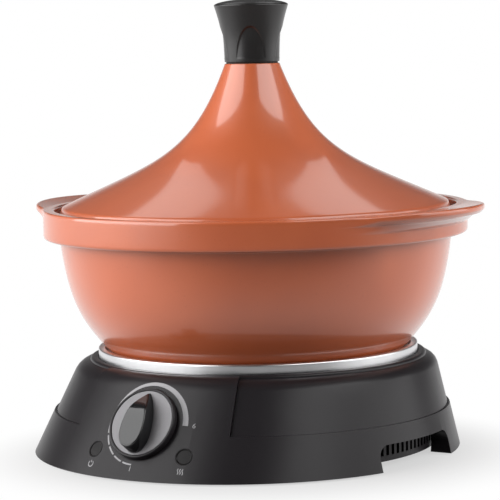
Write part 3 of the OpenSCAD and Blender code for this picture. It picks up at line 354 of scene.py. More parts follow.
def piece(name, mesh, node, *replaced, place=None, finish=None, flat=False, crease=None, slot=None):
    """Finished piece in the scene: merged, closed, facing outwards, riding with its node's body."""
    if place is not None:
        mesh.transform(place)
    work = bmesh.new()
    work.from_mesh(mesh)
    bmesh.ops.remove_doubles(work, verts=work.verts, dist=MERGE)
    bmesh.ops.dissolve_degenerate(work, edges=work.edges, dist=MERGE)
    bmesh.ops.recalc_face_normals(work, faces=work.faces)
    for face in work.faces:
        face.smooth = not flat
    if crease is not None:
        for edge in work.edges:
            edge.smooth = edge.calc_face_angle(pi) < crease
    work.to_mesh(mesh)
    work.free()
    mesh.name = name
    if finish:
        mesh.materials.clear()
        mesh.materials.append(FINISHES[finish])
    made = placed(name, mesh)
    if not flat:
        made.modifiers.new("even shading", "WEIGHTED_NORMAL").keep_sharp = True
    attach(made, BODY_OF[node])
    if replaced:
        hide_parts(*replaced)
    return made


def on_base(angle, height):
    """Place on the skirt's surface, with Z along its normal and Y up the slope; height in millimetres."""
    base = bpy.context.scene.tagine_base
    foot, crown = base.foot_radius / MM, base.crown_radius / MM
    lean, tall = base.lean / MM, base.height / MM
    turn = radians(angle)
    radius = foot - (foot - crown) * height / tall
    slope = atan((foot - crown + lean * cos(turn)) / tall)
    forward = radius * cos(turn) + lean * (1 - height / tall)
    spot = Vector((radius * sin(turn), -forward, height)) * MM
    tilt = Matrix.Rotation(pi / 2 - slope, 4, "X")
    return Matrix.Translation(spot) @ Matrix.Rotation(turn, 4, "Z") @ tilt


def on_panel(across, up, lift):
    """Point over the panel's curved surface, from millimetres across and up its plane at the knob."""
    base = bpy.context.scene.tagine_base
    place = on_base(0, bpy.context.scene.tagine_dial.knob_height / MM)
    # Halves the gap between a depth inside the skirt and one outside it
    low, high, halvings = -40.0, 40.0, 40
    for _ in range(halvings):
        out = (low + high) / 2
        spot = place @ (Vector((across, up, out)) * MM)
        share = spot.z / base.height
        radius = base.foot_radius + (base.crown_radius - base.foot_radius) * share
        if hypot(spot.x, spot.y + base.lean * (1 - share)) < radius:
            low = out
        else:
            high = out
    return place @ (Vector((across, up, out + lift)) * MM)


# Materials


def blank(name):
    """New material with an empty tree, and the place on the object that its patterns follow."""
    material = bpy.data.materials.new(name)
    material.use_nodes = True
    tree = material.node_tree
    tree.nodes.clear()
    return material, tree, add(tree, "ShaderNodeTexCoord").outputs["Object"]


def shaded(tree, sockets):
    """End a material's tree with one principled shader, plain values set on the shader's own sockets."""
    shader = add(tree, "ShaderNodeBsdfPrincipled", sockets)
    add(tree, "ShaderNodeOutputMaterial", {"Surface": shader})


def per_mm(size):
    """Texture scale that gives a pattern of this size in millimetres."""
    return 1 / (size * MM)


def glazed_terracotta():
    """Dipped and fired clay: warm orange brown, satin, a little deeper where the glaze ran thick,
    with pin-head specks and a faint ripple that softens each highlight."""
    clay = bpy.context.scene.tagine_clay
    material, tree, where = blank("glazed terracotta")
    cloud = add(tree, "ShaderNodeTexNoise", {"Vector": where, "Scale": per_mm(38), "Detail": 4.0})
    body = add(tree, "ShaderNodeMix", {
        "Factor": cloud, 6: (*clay.glaze_deep, 1), 7: (*clay.glaze, 1)}, data_type="RGBA")
    speck = add(tree, "ShaderNodeTexNoise", {"Vector": where, "Scale": per_mm(1.6), "Detail": 2.0})
    dots = add(tree, "ShaderNodeMapRange", {
        "Value": speck, "From Min": 0.66, "From Max": 0.74, "To Max": 0.35})
    colour = add(tree, "ShaderNodeMix", {
        "Factor": dots, 6: body.outputs[2], 7: shade("#7A3A22")}, data_type="RGBA")
    gloss = add(tree, "ShaderNodeMapRange", {"Value": cloud, "To Min": 0.31, "To Max": 0.41})
    ripple = add(tree, "ShaderNodeTexNoise", {"Vector": where, "Scale": per_mm(7), "Detail": 2.0})
    bump = add(tree, "ShaderNodeBump", {"Height": ripple, "Strength": 0.05, "Distance": 0.4 * MM})
    shaded(tree, {
        "Base Color": colour.outputs[2], "Roughness": gloss, "Normal": bump, "IOR": 1.5,
        "Specular IOR Level": 0.45, "Coat Weight": 0.9, "Coat Roughness": 0.1})
    return material


def turned_aluminium():
    """Cast aluminium faced on a lathe: bright satin metal with fine rings round the plate's axis."""
    material, tree, where = blank("turned cast aluminium")
    rings = add(tree, "ShaderNodeTexWave", {
        "Vector": where, "Scale": per_mm(1.2) / 20, "Distortion": 0.6, "Detail": 2.0},
        wave_type="RINGS", rings_direction="Z")
    cloud = add(tree, "ShaderNodeTexNoise", {"Vector": where, "Scale": per_mm(9), "Detail": 4.0})
    blend = add(tree, "ShaderNodeMix", {
        "Factor": cloud, 6: shade("#CFCFD1"), 7: shade("#E2E2E3")}, data_type="RGBA")
    bump = add(tree, "ShaderNodeBump", {
        "Height": rings.outputs["Fac"], "Strength": 0.12, "Distance": 0.05 * MM})
    shaded(tree, {"Base Color": blend.outputs[2], "Normal": bump, "Metallic": 1.0, "Roughness": 0.3})
    return material


def grained(name, dark, pale, size, detail, sockets, gloss=None, relief=None):
    """Material whose colour, gloss and relief follow one noise, its size in millimetres; gloss gives the
    roughness at the noise's two ends, relief the strength and depth of the bumps."""
    material, tree, where = blank(name)
    grit = add(tree, "ShaderNodeTexNoise", {"Vector": where, "Scale": per_mm(size), "Detail": detail})
    blend = add(tree, "ShaderNodeMix", {"Factor": grit, 6: (*dark, 1), 7: (*pale, 1)}, data_type="RGBA")
    patterns = {"Base Color": blend.outputs[2]}
    if gloss:
        low, high = gloss
        patterns["Roughness"] = add(tree, "ShaderNodeMapRange", {
            "Value": grit, "To Min": low, "To Max": high})
    if relief:
        strength, depth = relief
        patterns["Normal"] = add(tree, "ShaderNodeBump", {
            "Height": grit, "Strength": strength, "Distance": depth * MM})
    shaded(tree, {**sockets, **patterns})
    return material


def moulded(name, colour, roughness, grain, strength, sockets=None):
    """Moulded, pressed or sprayed surface: fine grain that breaks up its gloss and colour."""
    pale = tuple(min(1.0, 1.25 * c + 0.002) for c in colour)
    return grained(name, colour, pale, grain, 3.0, {"IOR": 1.5, **(sockets or {})},
                   gloss=(0.85 * roughness, 1.15 * roughness), relief=(strength, 0.2))


def metal(name, code, roughness, grain, strength):
    """Bare metal: tinted reflections, with fine marks from rolling, turning or plating."""
    bright = linear(code)
    dark = tuple(0.82 * c for c in bright)
    return grained(name, dark, bright, grain, 4.0, {"Metallic": 1.0},
                   gloss=(0.8 * roughness, 1.2 * roughness), relief=(strength, 0.1))


class TAGINE_OT_finishes(Operator):
    """Mix the material of each slot, and dress every node of the frame with its own"""

    bl_idname = "tagine.finishes"
    bl_label = "Mix Finishes"

    def execute(self, context):
        ink = context.scene.tagine_dial.ink
        TREES["turned"] = turned_tree()
        TREES["ring"] = ring_tree()
        FINISHES.update({
            "terracotta_glaze": glazed_terracotta(),
            # Matt ABS: deep grey black, fine grain, broad dull highlights
            "black_moulding": moulded("moulded ABS", context.scene.tagine_base.plastic, 0.33, 0.9, 0.08,
                                      {"Specular IOR Level": 0.22}),
            # Phenolic: black, a little warmer and smoother than the base
            "black_grip": moulded("moulded phenolic", linear("#131212"), 0.3, 1.2, 0.02),
            # Polished ABS: piano black, mirrors the softboxes
            "gloss_black": moulded("polished ABS", linear("#0B0B0C"), 0.14, 2.5, 0.02),
            # Sprayed silver lacquer on the dial: flat mid grey with a fine metal sparkle
            "silver_face": moulded("sprayed silver lacquer", linear("#5E5D5F"), 0.5, 0.5, 0.08,
                                   {"Metallic": 0.3}),
            "cast_aluminium": turned_aluminium(),
            # Galvanised sheet: cool grey with cloudy spangle
            "steel_sheet": metal("galvanised steel sheet", "#B9BCBE", 0.36, 6.0, 0.05),
            # Zinc-plated screw: brighter than sheet, faint yellow
            "steel_screw": metal("zinc-plated steel", "#C4C2BA", 0.3, 1.0, 0.1),
            # Drawn brass: warm yellow, lightly dulled
            "brass": metal("drawn brass", "#C9A45C", 0.28, 1.5, 0.08),
            # Copper tube: salmon red, softly tarnished
            "copper": metal("drawn copper", "#B87455", 0.32, 2.0, 0.08),
            # Rubber: dull black, no gloss at all
            "black_rubber": moulded("nitrile rubber", linear("#141414"), 0.8, 0.7, 0.3),
            # Silicone: milky orange red, soft sheen
            "gasket_silicone": moulded("moulded silicone", linear("#8C3A2B"), 0.55, 1.5, 0.1),
            # Mineral wool: straw yellow felt
            "mineral_wool": moulded("needled mineral wool", linear("#A99B72"), 0.95, 1.1, 0.9),
            # Steatite: unglazed ivory ceramic
            "steatite": moulded("pressed steatite", linear("#D8D0BE"), 0.6, 0.8, 0.12),
            # Tinted polycarbonate: near black while the lamp behind it is off, with a warm depth
            "smoked_lens": grained("smoked polycarbonate", linear("#070606"), linear("#0C0A0B"), 3, 2.0,
                                   {"IOR": 1.5, "Roughness": 0.3, "Specular IOR Level": 0.15}),
            # Blown glass of a small neon lamp: clear, with a faint haze
            "lamp_glass": grained("neon lamp glass", linear("#E8D9CF"), linear("#F4EDE8"), 2, 2.0,
                                  {"IOR": 1.5, "Transmission Weight": 0.9}, gloss=(0.05, 0.2)),
            # Glass-fibre sleeving: ivory, dull, woven
            "wire_white": moulded("glass-fibre sleeving", linear("#CFCBC2"), 0.7, 0.6, 0.3),
            # Screen-printed ink: light grey, matt, a little uneven where the mesh left it thin
            "ink": grained("screen print ink", [0.86 * c for c in ink], ink, 0.8, 2.0,
                           {"IOR": 1.45, "Roughness": 0.55}),
        })
        # PVC sleeving: plain colours, slight gloss
        for hue, code in (("brown", "#4A2F20"), ("blue", "#23508A"), ("green", "#3F7A33")):
            FINISHES["wire_" + hue] = moulded("PVC sleeving, " + hue, linear(code), 0.45, 1.5, 0.08)
        for name, node in frame["nodes"].items():
            node.data.materials.clear()
            node.data.materials.append(FINISHES[SLOT_OF[name]])
        return {"FINISHED"}


class TAGINE_OT_shells(Operator):
    """Give the base's mouldings an even sheen, with crisp edges"""

    bl_idname = "tagine.shells"
    bl_label = "Mould Shells"

    def execute(self, context):
        for node in ("lower_housing", "top_cover"):
            mesh = frame["nodes"][node].data.copy()
            piece(node + "_shell", mesh, node, node, crease=radians(28))
        return {"FINISHED"}


class TAGINE_OT_lid(Operator):
    """Turn the tall conical lid, open underneath, with its locating ring"""

    bl_idname = "tagine.lid"
    bl_label = "Turn Lid"

    def execute(self, context):
        clay = context.scene.tagine_clay
        low, high = span("lid")
        radius, top = high.x, high.z
        neck, wall, hole = clay.neck_radius / MM, clay.lid_wall / MM, 3.5
        ledge, spigot, ceiling = low.z + 5, radius - 8.5, top - 12
        spigot_in = spigot - 6
        edge = (radius - 1.5, ledge + 8)
        neck_pull, edge_pull = (neck + 23, top - 60), (edge[0] - 64, edge[1] + 29)
        outer = cubic((neck, top), neck_pull, edge_pull, edge, 64)
        inner = [p for p in beside(outer, wall) if p[1] < ceiling and p[0] < spigot_in]
        shoulder = softened([(hole, top), (neck, top, 0.6), outer[1]])
        brim = softened([
            outer[-2], edge + (1.2,), (radius, ledge + 4, 0.8), (radius, ledge, 0.8),
            (spigot, ledge, 0.4), (spigot, low.z, 1.2), (spigot_in, low.z, 1.2), inner[-1]])
        crown = softened([inner[0], (inner[0][0], ceiling, 1), (hole, ceiling), (hole, top)])
        profile = shoulder + outer[2:-2] + brim + inner[::-1][1:] + crown[1:]
        piece("lid_cone", turned("lid_cone", profile, 192, "terracotta_glaze"), "lid", "lid")
        return {"FINISHED"}


class TAGINE_OT_lid_knob(Operator):
    """Shape the flared knob on the lid, with an arched finger flat on each side"""

    bl_idname = "tagine.lid_knob"
    bl_label = "Shape Lid Knob"

    def execute(self, context):
        clay = context.scene.tagine_clay
        low, high = span("lid_knob")
        neck, top_r = clay.neck_radius / MM, high.x
        dome = 4.2
        lift = high.z - low.z - dome
        swell = neck + 1.2
        flat_half, flat_base, flat_tall, flat_depth, flat_turn = 9.2, 2.6, 20.4, 1.0, radians(29)
        step = 0.45
        flare = cubic((neck, low.z), (swell, low.z + 0.4 * lift), (swell, low.z + 0.57 * lift),
                      (top_r, low.z + lift), 90)
        crest = cubic((top_r, low.z + lift), (top_r, low.z + lift + dome / 2),
                      (top_r / 2, high.z), (0, high.z), 24)
        foot = softened([(0, low.z), (neck / 2, low.z), (neck, low.z, 0.5), flare[1]])
        edge = softened([flare[-2], flare[-1] + (0.6,), crest[2]])
        profile = foot + flare[2:-2] + edge + crest[3:]
        columns = 288
        rows = []
        for radius, z in profile:
            rise = z - low.z
            row = []
            for i in range(columns):
                turn = tau * i / columns
                sector = tau / clay.flats
                off = (turn - flat_turn + pi / 2 + sector / 2) % sector - sector / 2
                depth = 0.0
                if flat_base < rise < flat_base + flat_tall + step and radius > neck - 1:
                    side = radius * sin(off) / flat_half
                    up = (rise - flat_base) / flat_tall
                    inside = (1 - hypot(side, up)) * flat_half
                    share = min(1.0, max(0.0, inside / step + 0.5))
                    depth = flat_depth * rise / (flat_base + flat_tall) * share * share * (3 - 2 * share)
                row.append(polar(radius - depth, turn, z))
            rows.append(row)
        mesh = mesh_of("lid_knob_grip", *lattice(rows))
        piece("lid_knob_grip", mesh, "lid_knob", "lid_knob", finish="black_grip")
        return {"FINISHED"}


class TAGINE_OT_bowl(Operator):
    """Throw the bowl: round belly, deep rim band with a ledge for the lid, and two tab handles"""

    bl_idname = "tagine.bowl"
    bl_label = "Throw Bowl"

    def execute(self, context):
        clay = context.scene.tagine_clay
        low, high = span("bowl")
        reach, half_span, sweep = clay.handle_reach / MM, clay.handle_span / MM, clay.handle_sweep / MM
        rim = high.x - reach
        top, floor = high.z - sweep, low.z
        band, waist, wall, foot, tip_tall, blend = top - 19, rim - 10.5, 8, 96.5, 6, 2.0
        bore, ledge, rim_in, root, bottom = waist - wall, top - 7, rim - 7.5, top - 11, floor + wall
        root_x = sqrt(rim * rim - half_span * half_span)
        centre = (high.x ** 2 - rim ** 2) / (2 * (high.x - root_x))
        arc = high.x - centre
        heel, foot_pull = (foot + 2, floor + 2), (foot + 20, floor + 22.5)
        waist_pull = (waist - 5, band - 43)
        belly = cubic(heel, foot_pull, waist_pull, (waist, band), 40)
        inside = [p for p in beside(belly, -wall) if bottom + 1 < p[1] < band]
        outside = softened([
            (0, floor), (foot / 2, floor), (foot, floor, 0.8), heel + (1.2,), belly[2]]) + belly[3:-2]
        hollow = softened([
            (rim_in, top - 4), (rim_in, ledge, 1), (bore, ledge, 1.2), (bore, band - 2, 2),
            inside[-1]]) + inside[::-1][1:]
        hollow += softened([inside[0], (inside[0][0] - 8, bottom, 7), (40, bottom), (0, bottom)])[1:]
        columns = 480
        grid = []
        for i in range(columns):
            turn = tau * i / columns
            away = asin(abs(sin(turn)))
            inner = arc * arc - (centre * sin(away)) ** 2
            beyond = centre * cos(away) + sqrt(max(inner, 0)) - rim if inner > 0 else -20.0
            tab = blend * log1p(exp(beyond / blend))
            tip = min(0.4 * tip_tall, tab / 2)
            crest = top + sweep * min(1.0, tab / reach)
            under = crest - tip_tall
            scoop = cubic((rim, root), (rim + 0.4 * tab, top - 8.8), (rim + 0.6 * tab - tip, under - 0.5),
                          (rim + tab - tip, under), 12)
            band_run = softened([
                belly[-2], (waist, band, 1.5), (rim, band, 2.5), (rim, root, 0.6), scoop[1]])
            lip = softened([
                scoop[-2], scoop[-1] + (0.6,), (rim + tab, under + tip, 1), (rim + tab, crest, 2.3),
                (rim - 2, top, 1), (rim_in + 3, top), (rim_in, top, 2.5), (rim_in, top - 4)])
            run = outside + band_run + scoop[2:-2] + lip + hollow[1:]
            grid.append([polar(r, turn, z) for r, z in run])
        mesh = mesh_of("bowl_pot", *lattice(list(zip(*grid))))
        piece("bowl_pot", mesh, "bowl", "bowl", finish="terracotta_glaze")
        return {"FINISHED"}


class TAGINE_OT_plate(Operator):
    """Face the hot plate, with the raised lip that centres the bowl and the studs that hold it"""

    bl_idname = "tagine.plate"
    bl_label = "Turn Hot Plate"

    def execute(self, context):
        low, high = span("hot_plate")
        boss_low = span("element_clamp")[1].z
        nuts_low, nuts_high = span("plate_nuts")
        radius, top = high.x, high.z
        under, face, lip, boss, stud, stud_low = top - 9.9, top - 3.9, 4.3, 7, 3, low.z
        profile = softened([
            (0, stud_low), (stud, stud_low, 0.5), (stud, boss_low), (boss, boss_low, 0.5),
            (boss, under), (radius, under, 0.5), (radius, top, 1.2), (radius - lip, top, 0.6),
            (radius - lip - 1.3, face, 0.6), (40, face), (0, face)])
        disc = turned("hot_plate_disc", profile, 192, "cast_aluminium")
        piece("hot_plate_disc", disc, "hot_plate", "hot_plate")
        stem, count, end, root = 2, 3, nuts_low.z - 1, under + 1
        nut_half = stem * 3.4 / 2
        ring = (nuts_high.y - nut_half) / sin(radians(30))
        profile = softened([(0, end), (stem, end, 0.4), (stem, root), (0, root)])
        one = turned("stud", profile, 24, "cast_aluminium")
        studs = grown(one, "ring", "cast_aluminium", Copies=count, Radius=ring * MM,
                      First=radians(150), Step=tau / count)
        piece("plate_studs", studs, "hot_plate")
        return {"FINISHED"}


class TAGINE_OT_control_knob(Operator):
    """Make the dial, its silver disc and the drop-shaped grip across it"""

    bl_idname = "tagine.control_knob"
    bl_label = "Make Control Knob"

    def execute(self, context):
        place = on_base(0, context.scene.tagine_dial.knob_height / MM)
        radius, rim, low, face = 23.2, 1.8, -0.2, 3.6
        hollow_r, hollow_top = 9.28, 1.9
        seat_r, seat = radius - rim, face - 0.9
        profile = softened([
            (0, hollow_top), (hollow_r, hollow_top), (hollow_r, low), (radius, low, 0.4),
            (radius, face, 0.95), (seat_r, face, 0.85), (seat_r, seat), (0, seat)])
        dial = turned("dial_body", profile, 128, "black_moulding")
        piece("dial_body", dial, "knob_body", "knob_body", place=place, slot="black_moulding")
        disc_r, disc_low, disc_top = seat_r - 0.1, face - 1, face - 0.4
        profile = softened([(0, disc_low), (disc_r, disc_low), (disc_r, disc_top, 0.2),
                            (disc_r - 1.2, disc_top), (0, disc_top)])
        disc = turned("dial_disc", profile, 128, "silver_face")
        piece("dial_disc", disc, "knob_face", "knob_face", place=place)
        self.grip(place, seat_r - 1, 8.6, disc_low)
        return {"FINISHED"}

    def grip(self, place, half_l, half_w, low):
        """Grip like a drop, tallest at its blunt end, whose top slopes down to a point at the mark."""
        heart, edge, crest, tall, tip, draft, bevel = -0.3 * half_l, 0.8, 7.0, 10.2, 2.0, 0.95, 0.09
        wide = (half_w, -0.35 * half_l)
        side = cubic((0, half_l), (0.55 * half_w, 0.72 * half_l), (half_w, 0.2 * half_l), wide, 28)
        side += cubic(wide, (half_w, -0.75 * half_l), (0.6 * half_w, -half_l), (0, -half_l), 22)[1:]
        outline = side + [(-x, y) for x, y in side[-2:0:-1]]

        def top_at(y):
            slope = tip + (tall - tip) * (half_l - y) / (half_l - crest)
            return tall - log1p(exp(tall - slope))

        def row(share, drop, rise=1.0):
            ring = [(x * share, heart + (y - heart) * share) for x, y in outline]
            return [(x, y, low + rise * (top_at(y) - drop)) for x, y in ring]

        rows = [row(1.0, 0, 0.0)]
        rows += [row(1 - (1 - draft) * k / 6, edge, k / 6) for k in range(1, 7)]
        for k in range(1, 6):
            turn = pi / 2 * k / 5
            rows.append(row(draft - bevel * (1 - cos(turn)), edge * (1 - sin(turn))))
        rows += [row((draft - bevel) * (1 - k / 12), 0) for k in range(1, 12)]
        mesh = mesh_of("dial_grip", *capped(rows))
        piece("dial_grip", mesh, "knob_body", place=place, finish="gloss_black")


class TAGINE_OT_lenses(Operator):
    """Set the two lamp lenses a little below the panel's face"""

    bl_idname = "tagine.lenses"
    bl_label = "Set Lamp Lenses"

    def execute(self, context):
        dial = context.scene.tagine_dial
        angle, height = degrees(dial.lamp_angle), dial.lamp_height / MM
        radius, lip, dish_r, back, front, dish = 5.3, 4.9, 4.5, -4.5, -0.05, -0.45
        profile = softened([
            (0, back), (radius, back), (radius, front, 0.15), (lip, front, 0.15), (dish_r, -0.5, 0.2),
            (2, dish), (0, dish)])
        for node, turn in (("power_lens", -angle), ("heat_lens", angle)):
            mesh = turned(node + "_cap", profile, 64, "smoked_lens")
            piece(node + "_cap", mesh, node, node, place=on_base(turn, height))
        return {"FINISHED"}


def at_corners(name, one, node, half_width, finish):
    """Four copies of a shape as one piece, at the corners of a CAD node's box."""
    low, high = span(node)
    ring = (high.x - half_width) / sin(pi / 4)
    copies = grown(one, "ring", finish, Copies=4, Radius=ring * MM, First=pi / 4, Step=pi / 2)
    centre = Matrix.Translation((0, (low.y + high.y) / 2 * MM, 0))
    piece(name, copies, node, node, place=centre)


class TAGINE_OT_feet(Operator):
    """Plug the rubber feet into the pan"""

    bl_idname = "tagine.feet"
    bl_label = "Plug Feet"

    def execute(self, context):
        pan_low, top = span("bottom_pan")[0].z, span("rubber_feet")[1].z
        radius, stem, barb, groove, head = 9, 2.6, 3.6, 0.6, top - 1.9
        profile = softened([
            (0, groove), (3.4, groove, 0.3), (4, 0, 0.3), (5.4, 0, 0.3), (6, groove, 0.3),
            (6.6, groove, 0.3), (7.2, 0, 0.3), (radius - 0.8, 0, 0.4), (radius, 0.8, 0.5),
            (radius, pan_low, 0.4), (stem, pan_low), (stem, head), (barb, head, 0.3),
            (stem - 1, top, 0.4), (0, top)])
        one = turned("foot", profile, 48, "black_rubber")
        at_corners("sole_feet", one, "rubber_feet", radius, "black_rubber")
        return {"FINISHED"}


class TAGINE_OT_screws(Operator):
    """Drive the four case screws up through the pan, each with a cross recess"""

    bl_idname = "tagine.screws"
    bl_label = "Drive Case Screws"

    def execute(self, context):
        low, high = span("case_screws")
        head, tall, shank, depth, arm, thick = 3.4, 2.2, 1.75, 1.3, 2.0, 0.45
        bottom, end, columns = low.z, high.z, 96
        turns = [tau * i / columns for i in range(columns)]

        def circle(radius, z):
            return [polar(radius, turn, z) for turn in turns]

        def cross(share, z):
            run = []
            for turn in turns:
                across, along = sorted((abs(cos(turn)), abs(sin(turn))))
                reach = share * min(arm / along, thick / max(across, 1e-6))
                run.append(polar(reach, turn, z))
            return run

        rows = [cross(0.02, bottom + depth), cross(0.8, bottom + depth), cross(1.0, bottom + 0.15),
                circle(arm + 0.35, bottom + 0.1)]
        seat = bottom + tall
        profile = softened([
            (arm + 0.5, bottom + 0.1), (head, bottom + 0.7, 0.5), (head, seat, 0.2), (shank, seat)])
        rows += [circle(radius, z) for radius, z in profile]
        rows += self.thread(shank, seat, end - 1.2, turns)
        rows += [circle(0.4 * shank, end), circle(0.02, end)]
        one = mesh_of("screw", *capped(rows))
        at_corners("cross_screws", one, "case_screws", head, "steel_screw")
        return {"FINISHED"}

    def thread(self, radius, low, high, turns):
        """Rows of a shank whose radius follows a thread's ridge round and up."""
        pitch, ridge, per_turn = 1.2, 0.22, 6
        count = round((high - low) / pitch * per_turn)
        rows = []
        for j in range(1, count):
            z = low + (high - low) * j / count
            row = []
            for i, turn in enumerate(turns):
                phase = (z / pitch - i / len(turns)) % 1.0
                reach = radius - ridge * (1 - abs(2 * phase - 1))
                row.append(polar(reach, turn, z))
            rows.append(row)
        return rows


class TAGINE_OT_gland(Operator):
    """Press the cord gland into the back of the skirt"""

    bl_idname = "tagine.gland"
    bl_label = "Press Gland"

    def execute(self, context):
        flange, body, bore, out, inner, height = 7.5, 5.8, 3.6, 2.5, -3.4, 15.5
        end, barb = inner - 8, inner - 4
        profile = softened([
            (bore, end), (body, end, 0.4), (flange, inner - 6.5, 0.6), (flange, barb, 0.3),
            (body, barb, 0.2), (body, 0), (flange, 0, 0.3), (flange, out - 0.4, 0.8),
            (bore + 1.2, out, 0.5), (bore, out - 0.8, 0.4), (bore, 0), (bore, end)])
        mesh = turned("cord_gland_ring", profile, 64, "black_rubber")
        piece("cord_gland_ring", mesh, "cord_gland", "cord_gland", place=on_base(180, height))
        return {"FINISHED"}


def printed(name, points, faces):
    """Thin layer of ink from a flat drawing in millimetres on the panel's plane."""
    lift, thickness, front = 0.06, 0.2, Vector((0, -1, 0))
    mesh = bpy.data.meshes.new(name)
    mesh.from_pydata([on_panel(p[0], p[1], lift) for p in points], [], faces)
    made = piece(name, mesh, "lower_housing", finish="ink", flat=True)
    if made.data.polygons[0].normal.dot(front) < 0:
        made.data.flip_normals()
    layer = made.modifiers.new("ink layer", "SOLIDIFY")
    layer.thickness = thickness * MM
    layer.offset = -1


def stroke(points, width):
    """Flat band of faces along a line of points."""
    half = width / 2
    rows = [beside(points, half), beside(points, -half)]
    return lattice([[(x, y, 0) for x, y in row] for row in rows], closed=False)


def joined(*drawings):
    """Points and faces of several flat drawings as one."""
    points, faces = [], []
    for more, shapes in drawings:
        faces += [tuple(i + len(points) for i in face) for face in shapes]
        points += more
    return points, faces


def digits(text, size):
    """Flat faces of a number, centred on its own middle."""
    curve = bpy.data.curves.new("number", "FONT")
    curve.body = text
    curve.size = size
    curve.align_x = "CENTER"
    curve.align_y = "CENTER"
    mesh = plain_mesh(placed("number", curve))
    return [tuple(v.co) for v in mesh.vertices], [tuple(p.vertices) for p in mesh.polygons]


class TAGINE_OT_print(Operator):
    """Print the heat scale, its numbers and the lamps' signs on the panel"""

    bl_idname = "tagine.print"
    bl_label = "Print Panel"

    def execute(self, context):
        dial = context.scene.tagine_dial
        inner, wide, narrow = dial.scale_radius / MM, dial.scale_width / MM, 1.0
        steps, start, end = 96, radians(177), radians(5)
        first_dash, dash_step, number_size = radians(260.5), radians(-18.5), 4.6
        near, far = [], []
        for i in range(steps + 1):
            share = i / steps
            turn = start + (end - start) * share
            outer = inner + narrow + (wide - narrow) * share
            near.append(polar(inner, turn))
            far.append(polar(outer, turn))
        printed("scale_arc", *lattice([near, far], closed=False))
        mid, long = inner + narrow / 2, radians(15)
        turns = [long * (k / 6 - 0.5) for k in range(7)]
        bend = [(mid * cos(turn) - mid, mid * sin(turn)) for turn in turns]
        dash = mesh_of("dash", *stroke(bend, narrow))
        ring = grown(dash, "ring", "ink", Copies=dial.dashes, Radius=mid * MM, First=first_dash,
                     Step=dash_step)
        printed("scale_dashes", [v.co / MM for v in ring.vertices],
                [tuple(p.vertices) for p in ring.polygons])
        for name, text, across, up in (("cool_number", dial.cool_mark, -1.0, -29.6),
                                       ("hot_number", dial.hot_mark, 33.6, 3.2)):
            points, faces = digits(text, number_size)
            printed(name, [(x + across, y + up, 0) for x, y, _ in points], faces)
        self.signs(dial.lamp_angle)
        return {"FINISHED"}

    def signs(self, angle):
        """Under the lamps, a broken ring with a bar for power and three waves for heat."""
        base = bpy.context.scene.tagine_base
        across = 0.9 * base.foot_radius / MM * sin(angle) + 2.4
        up, size, width, wave_gap, sway, steps = -27.2, 1.9, 0.5, 1.5, 0.4, 16
        gap = radians(38)
        arc = [pi / 2 + gap + (tau - 2 * gap) * k / 40 for k in range(41)]
        ring = stroke([(size * cos(t) - across, size * sin(t) + up) for t in arc], width)
        bar = stroke([(-across, up + 0.4 * size), (-across, up + 1.3 * size)], width)
        printed("power_sign", *joined(ring, bar))
        waves = []
        for column in (-1, 0, 1):
            run = []
            for k in range(steps + 1):
                out = across + wave_gap * column + sway * sin(tau * k / steps)
                run.append((out, up - size + 2 * size * k / steps))
            waves.append(stroke(run, width))
        printed("heat_sign", *joined(*waves))


